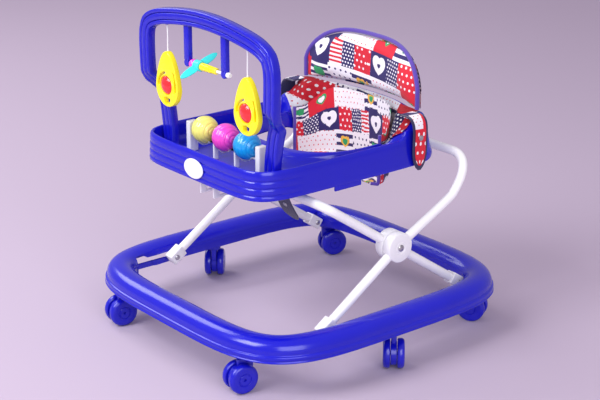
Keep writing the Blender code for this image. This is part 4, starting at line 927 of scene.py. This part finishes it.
seat = {"halfWidth": 0.150, "low": 0.3945, "high": 0.496, "y": 0.179, "thick": 0.018, "clothSteps": 18, "pressure": 4.0, "limit": 0.005}


def backLine(x, depth=0.0):
    return seat["y"] - 0.031 * (abs(x) / seat["halfWidth"]) ** 2.2 + depth


def backTop(x, halfWidth, low, high):
    edge = 1 - (abs(x) / (halfWidth * 1.002)) ** 3.4
    return low + (high - low) * (0.30 + 0.70 * max(edge, 0) ** 0.62)


def clothUv(bm, of):
    layer = bm.loops.layers.uv.new("clothUv")
    for face in bm.faces:
        for loop in face.loops:
            loop[layer].uv = of(loop.vert.co)


def puff(piece, limit):
    # a short cloth run with pressure inside, each point held near where it began
    before = [vert.co.copy() for vert in piece.data.vertices]
    cloth = piece.modifiers.new("Cloth", "CLOTH")
    cloth.settings.use_pressure = True
    cloth.settings.uniform_pressure_force = seat["pressure"]
    cloth.settings.quality = 6
    cloth.settings.tension_stiffness = 18
    cloth.settings.compression_stiffness = 12
    cloth.settings.bending_stiffness = 0.4
    cloth.settings.effector_weights.gravity = 0
    cloth.point_cache.frame_start = 1
    cloth.point_cache.frame_end = seat["clothSteps"]
    for step in range(1, seat["clothSteps"] + 1):
        bpy.context.scene.frame_set(step)
    applyModifiers(piece)
    bpy.context.scene.frame_set(1)
    for vert, start in zip(piece.data.vertices, before):
        move = vert.co - start
        if move.length > limit:
            vert.co = start + move * (limit / move.length)


def buildBackPad():
    settings = seat
    half = settings["halfWidth"] - 0.003
    low, high = settings["low"] + 0.002, settings["high"] - 0.004
    bm = bmesh.new()
    bmesh.ops.create_grid(bm, x_segments=56, y_segments=22, size=0.5)
    grown = bmesh.ops.extrude_face_region(bm, geom=bm.faces[:])
    front = {item for item in grown["geom"] if isinstance(item, bmesh.types.BMVert)}
    for vert in bm.verts:
        u, v = vert.co.x + 0.5, vert.co.y + 0.5
        x = (2 * u - 1) * half
        rim = min(1.0, min(u, 1 - u, (1 - v) * 0.6 + 0.002, v * 0.8 + 0.03) / 0.09)
        swell = 0.0030 + 0.0050 * max(rim, 0) ** 0.5
        crease = 0.0012 * noise.noise(Vector((x * 34, v * 5, 3.7))) + 0.0008 * noise.noise(Vector((x * 80, v * 12, 9.1)))
        depth = -settings["thick"] / 2 - 0.001 + (-(swell + crease) if vert in front else swell * 0.7)
        vert.co = (x, backLine(x, depth), low + (backTop(x, half, low, high) - low) * v)
    bmesh.ops.recalc_face_normals(bm, faces=bm.faces)
    piece = addPiece("backPad", bm, patchwork, "play_tray", ["backrest_pad"], 180)
    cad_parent, piece.parent = piece.parent, None
    puff(piece, settings["limit"])
    piece.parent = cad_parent
    done = bmesh.new()
    done.from_mesh(piece.data)
    bmesh.ops.smooth_vert(done, verts=done.verts, factor=0.4, use_axis_x=True, use_axis_y=True, use_axis_z=True)
    clothUv(done, lambda co: (co.x * 1.03 + 0.35 * (co.y - 0.17) * (1 if co.x > 0 else -1), co.z))
    done.to_mesh(piece.data)
    done.free()
    applyModifiers(subdivide(piece))
    piece.data.shade_smooth()
    cover = bmesh.new()
    bmesh.ops.create_grid(cover, x_segments=48, y_segments=16, size=0.5)
    for vert in cover.verts:
        u, v = vert.co.x + 0.5, vert.co.y + 0.5
        x = (2 * u - 1) * (settings["halfWidth"] - 0.006)
        top = backTop(x, settings["halfWidth"] - 0.006, settings["low"] + 0.001, 0.488)
        vert.co = (x, backLine(x, 0.0030 + 0.0008 * noise.noise(Vector((x * 40, v * 6, 1)))), settings["low"] + 0.001 + (top - settings["low"] - 0.001) * v)
    bmesh.ops.solidify(cover, geom=cover.faces[:], thickness=0.0026)
    bmesh.ops.recalc_face_normals(cover, faces=cover.faces)
    clothUv(cover, lambda co: (-co.x + 0.21, co.z))
    rear = addPiece("backCover", cover, patchwork, "play_tray", ["backrest_panel"], 50)
    print("backrest ready")
    return rear


def buildPiping():
    settings = seat
    half = settings["halfWidth"] - 0.001
    points = []
    for k in range(0, 97):
        u = k / 96
        angle = pi * u
        x = -half * cos(angle)
        reach = backTop(x, half, settings["low"], settings["high"] - 0.0015)
        points.append(Vector((x, backLine(x, -0.0085), reach)))
    left = [Vector((-half, points[0].y, settings["low"] + 0.001 + (points[0].z - settings["low"] - 0.001) * k / 6)) for k in range(6)]
    right = [Vector((half, points[-1].y, points[-1].z + (settings["low"] + 0.001 - points[-1].z) * k / 6)) for k in range(1, 7)]
    run = smoothRun(left + points + right, 1)
    mesh = curveMesh("backPiping", run, 0.0040, 5)
    dressMesh("backPiping", mesh, pipingCloth, "play_tray", (), 60)
    print("piping ready")


def slingPlace(u, v):
    angle = radians(16) + radians(148) * u
    wall = openingPoint(angle, 0.0060)
    top = 0.352 + 0.036 * ease(0.10, 0.15, wall.y)
    if v < 0.6:
        flat, height = wall, top + (0.282 - top) * v / 0.6
    else:
        run = (v - 0.6) / 0.4
        flat = wall.lerp(Vector((wall.x * 0.9, 0.078)), run * run)
        height = 0.282 - 0.018 * sin(pi / 2 * min(run * 3, 1))
    fold = 0.0016 * noise.noise(Vector((u * 16, v * 3.0, 2.2))) + 0.0009 * noise.noise(Vector((u * 40, v * 7.0, 5.5)))
    out = Vector((wall.x, wall.y - opening["y"])).normalized()
    return Vector((flat.x - out.x * abs(fold), flat.y - out.y * abs(fold), height))


def buildSling():
    bm = bmesh.new()
    bmesh.ops.create_grid(bm, x_segments=84, y_segments=40, size=0.5)
    layer = bm.loops.layers.uv.new("clothUv")
    for face in bm.faces:
        for loop in face.loops:
            loop[layer].uv = ((loop.vert.co.x + 0.5) * 0.36 + 0.1, 0.39 - (loop.vert.co.y + 0.5) * 0.19)
    for vert in bm.verts:
        vert.co = slingPlace(vert.co.x + 0.5, vert.co.y + 0.5)
    area = sum(face.calc_area() for face in bm.faces)
    bmesh.ops.solidify(bm, geom=bm.faces[:], thickness=0.0016)
    bmesh.ops.recalc_face_normals(bm, faces=bm.faces)
    piece = addPiece("seatSling", bm, patchwork, "play_tray", ["seat_sling"], 60)
    for side, u in ((-1, 1.0), (1, 0.0)):
        run = smoothRun([slingPlace(u, k / 12) for k in range(13)], 3)
        dressMesh(f"slingBinding{side}", curveMesh(f"slingBinding{side}", run, 0.0030, 4), pipingCloth, "play_tray", (), 60)
    print("sling ready")


collar = {"first": 5, "last": 10, "lift": 0.0024, "steps": 120, "start": 0.104}


def buildCollar():
    # the printed cloth that runs from the pad over the raised rim and down to the sling
    settings = collar
    rows = trayRows[settings["first"]:settings["last"] + 1]
    bm = bmesh.new()
    layer = bm.loops.layers.uv.new("clothUv")
    lines, flats = [], {}
    for k in range(settings["steps"] + 1):
        angle = radians(34) + radians(112) * k / settings["steps"]
        line = []
        run = smoothRun([trayPlace(angle, row) for row in rows], 3)
        for n, point in enumerate(run):
            before, after = run[max(n - 1, 0)], run[min(n + 1, len(run) - 1)]
            inward = Vector((after.x - before.x, after.y - before.y, 0)).normalized()
            slope = (after - before).normalized()
            normal = Vector((inward.x * -slope.z, inward.y * -slope.z, max(slope.x * inward.x + slope.y * inward.y, 0.2))).normalized()
            fold = 0.0007 * noise.noise(Vector((angle * 9, n * 0.35, 4.4)))
            line.append(bm.verts.new(point + normal * (settings["lift"] + fold)))
            flats[line[-1]] = (point.x, point.z + 0.35 * (point.y - 0.17))
        lines.append(line)
    for first, second in zip(lines, lines[1:]):
        for n in range(len(first) - 1):
            face = bm.faces.new((first[n], first[n + 1], second[n + 1], second[n]))
            for loop in face.loops:
                loop[layer].uv = flats[loop.vert]
    area = sum(face.calc_area() for face in bm.faces)
    bmesh.ops.solidify(bm, geom=bm.faces[:], thickness=0.0010)
    bmesh.ops.recalc_face_normals(bm, faces=bm.faces)
    piece = addPiece("seatCollar", bm, patchwork, "play_tray", (), 60)
    print("collar ready")


def flatStrap(name, line, across, width, thick, finish, body, replaced, tip=0.0, uvShift=0.0):
    run = smoothRun(line, 8)
    lengths = [0.0]
    for a, b in zip(run, run[1:]):
        lengths.append(lengths[-1] + (b - a).length)
    whole = lengths[-1]
    bm = bmesh.new()
    bmesh.ops.create_grid(bm, x_segments=12, y_segments=len(run) - 1, size=0.5)
    layer = bm.loops.layers.uv.new("clothUv")
    for face in bm.faces:
        for loop in face.loops:
            loop[layer].uv = (loop.vert.co.x * width + uvShift, (0.5 - loop.vert.co.y) * whole + uvShift)
    direction = Vector(across).normalized()
    for vert in bm.verts:
        step = round((vert.co.y + 0.5) * (len(run) - 1))
        left = whole - lengths[step]
        narrow = 1.0
        if tip and left < tip:
            narrow = max(1 - (1 - left / tip) ** 2, 0.04) ** 0.5
        vert.co = run[step] + direction * (2 * vert.co.x * (width / 2) * narrow)
    bmesh.ops.solidify(bm, geom=bm.faces[:], thickness=thick)
    bmesh.ops.recalc_face_normals(bm, faces=bm.faces)
    return addPiece(name, bm, finish, body, replaced, 50)


def snapMesh(centre, outward):
    bm = latheMesh([(0, 0.0016), (0.0018, 0.0016), (0.0022, 0.0010), (0.0036, 0.0013), (0.0046, 0.0008), (0.0048, 0), (0, 0)], 32)
    turn = Vector((0, 0, 1)).rotation_difference(Vector(outward)).to_matrix().to_4x4()
    bm.transform(Matrix.Translation(centre) @ turn)
    return bm


def buildStraps():
    line = [(0, -0.056, 0.3000), (0, -0.050, 0.2800), (0, -0.036, 0.2400), (0, -0.020, 0.2090), (0, -0.006, 0.1910)]
    flatStrap("crotchStrap", line, (1, 0, 0), 0.040, 0.0028, navyWeb, "play_tray", ["crotch_strap"], 0.020)
    addPiece("crotchSnap", snapMesh((0, -0.0290, 0.2213), (0, -0.83, -0.55)), zincSteel, "play_tray", ["crotch_snap"], 30)
    for side, label in ((1, "left"), (-1, "right")):
        line = [(side * 0.1440, 0.121, 0.3915), (side * 0.1640, 0.121, 0.3915), (side * 0.1745, 0.121, 0.3850), (side * 0.1788, 0.121, 0.3700),
                (side * 0.1785, 0.121, 0.3400), (side * 0.1785, 0.121, 0.3000)]
        flatStrap(f"sideStrap{side}", line, (0, 1, 0), 0.034, 0.0014, navyWeb, "play_tray", [f"side_strap_{label}"], 0.036, 0.07)
        inner = [(x + side * 0.0013, y, z + (0.0013 if z > 0.388 else 0)) for x, y, z in line[:-1]] + [(side * 0.1798, 0.121, 0.3080)]
        flatStrap(f"strapPrint{side}", inner, (0, 1, 0), 0.024, 0.0010, patchwork, "play_tray", (), 0.026, 0.045)
        addPiece(f"sideSnap{side}", snapMesh((side * 0.1810, 0.121, 0.3560), (side, 0, 0)), zincSteel, "play_tray", [f"side_snap_{label}"], 30)
    print("straps ready")


def buildFittings():
    for label in ("left", "right"):
        carryOver(f"inner_foot_{label}", whitePlastic, "inner_frame")
        carryOver(f"outer_foot_{label}", whitePlastic, "outer_frame")
        carryOver(f"bar_clip_{label}", whitePlastic, "play_tray", 0.0006)
        carryOver(f"hub_screw_{label}", zincSteel, "inner_frame")
        carryOver(f"rear_screw_{label}", zincSteel, "base")
        carryOver(f"slide_pin_{label}", zincSteel, "outer_frame")
    carryOver("height_rack", whitePlastic, "play_tray", 0.0008)
    print("fittings ready")


studio = {"key": 100, "fill": 62, "rim": 38, "floor": (0.50, 0.42, 0.53)}


def buildStudio():
    az, el = radians(50.903), radians(19.235)
    right = Vector((cos(az), sin(az), 0))
    back = Vector((sin(az) * cos(el), -cos(az) * cos(el), sin(el)))
    up = back.cross(right)
    data = bpy.data.cameras.new("studioCamera")
    data.lens = 95.07
    data.sensor_width = 36
    camera = bpy.data.objects.new("studioCamera", data)
    bpy.context.scene.collection.objects.link(camera)
    turn = Matrix((right, up, back)).transposed().to_4x4()
    camera.matrix_world = Matrix.Translation((2.0394, -1.6528, 1.1387)) @ turn
    bpy.context.scene.camera = camera
    floorMaterial, tree = newMaterial("studioFloor")
    shader = tree.nodes["Principled BSDF"]
    shader.inputs["Base Color"].default_value = (*studio["floor"], 1)
    shader.inputs["Roughness"].default_value = 0.7
    shader.inputs["Specular IOR Level"].default_value = 0.2
    bm = bmesh.new()
    bmesh.ops.create_grid(bm, x_segments=1, y_segments=1, size=6)
    mesh = bpy.data.meshes.new("studioFloor")
    bm.to_mesh(mesh)
    bm.free()
    mesh.materials.append(floorMaterial)
    floor = bpy.data.objects.new("studioFloor", mesh)
    bpy.context.scene.collection.objects.link(floor)
    world = bpy.data.worlds.new("studioWorld")
    world.use_nodes = True
    world.node_tree.nodes["Background"].inputs[0].default_value = (0.72, 0.64, 0.76, 1)
    world.node_tree.nodes["Background"].inputs[1].default_value = 0.66
    bpy.context.scene.world = world
    bpy.context.scene.view_settings.view_transform = "Standard"
    for name, power, size, place in (
        ("keyLight", studio["key"], 1.8, (-0.4, -2.6, 2.5)),
        ("fillLight", studio["fill"], 2.2, (2.8, -1.2, 1.6)),
        ("rimLight", studio["rim"], 1.6, (-2.6, -0.5, 2.3)),
    ):
        light = bpy.data.lights.new(name, "AREA")
        light.energy = power
        light.size = size
        lamp = bpy.data.objects.new(name, light)
        bpy.context.scene.collection.objects.link(lamp)
        lamp.location = place
        lamp.rotation_euler = (Vector((0, 0, 0.25)) - Vector(place)).to_track_quat("-Z", "Y").to_euler()
    print("studio ready")


buildBase()
buildCasters()
buildFrames()
buildFittings()
buildTray()
buildArch()
buildPlane()
buildPendants()
buildRattle()
buildBackPad()
buildPiping()
buildSling()
buildCollar()
buildStraps()
buildStudio()
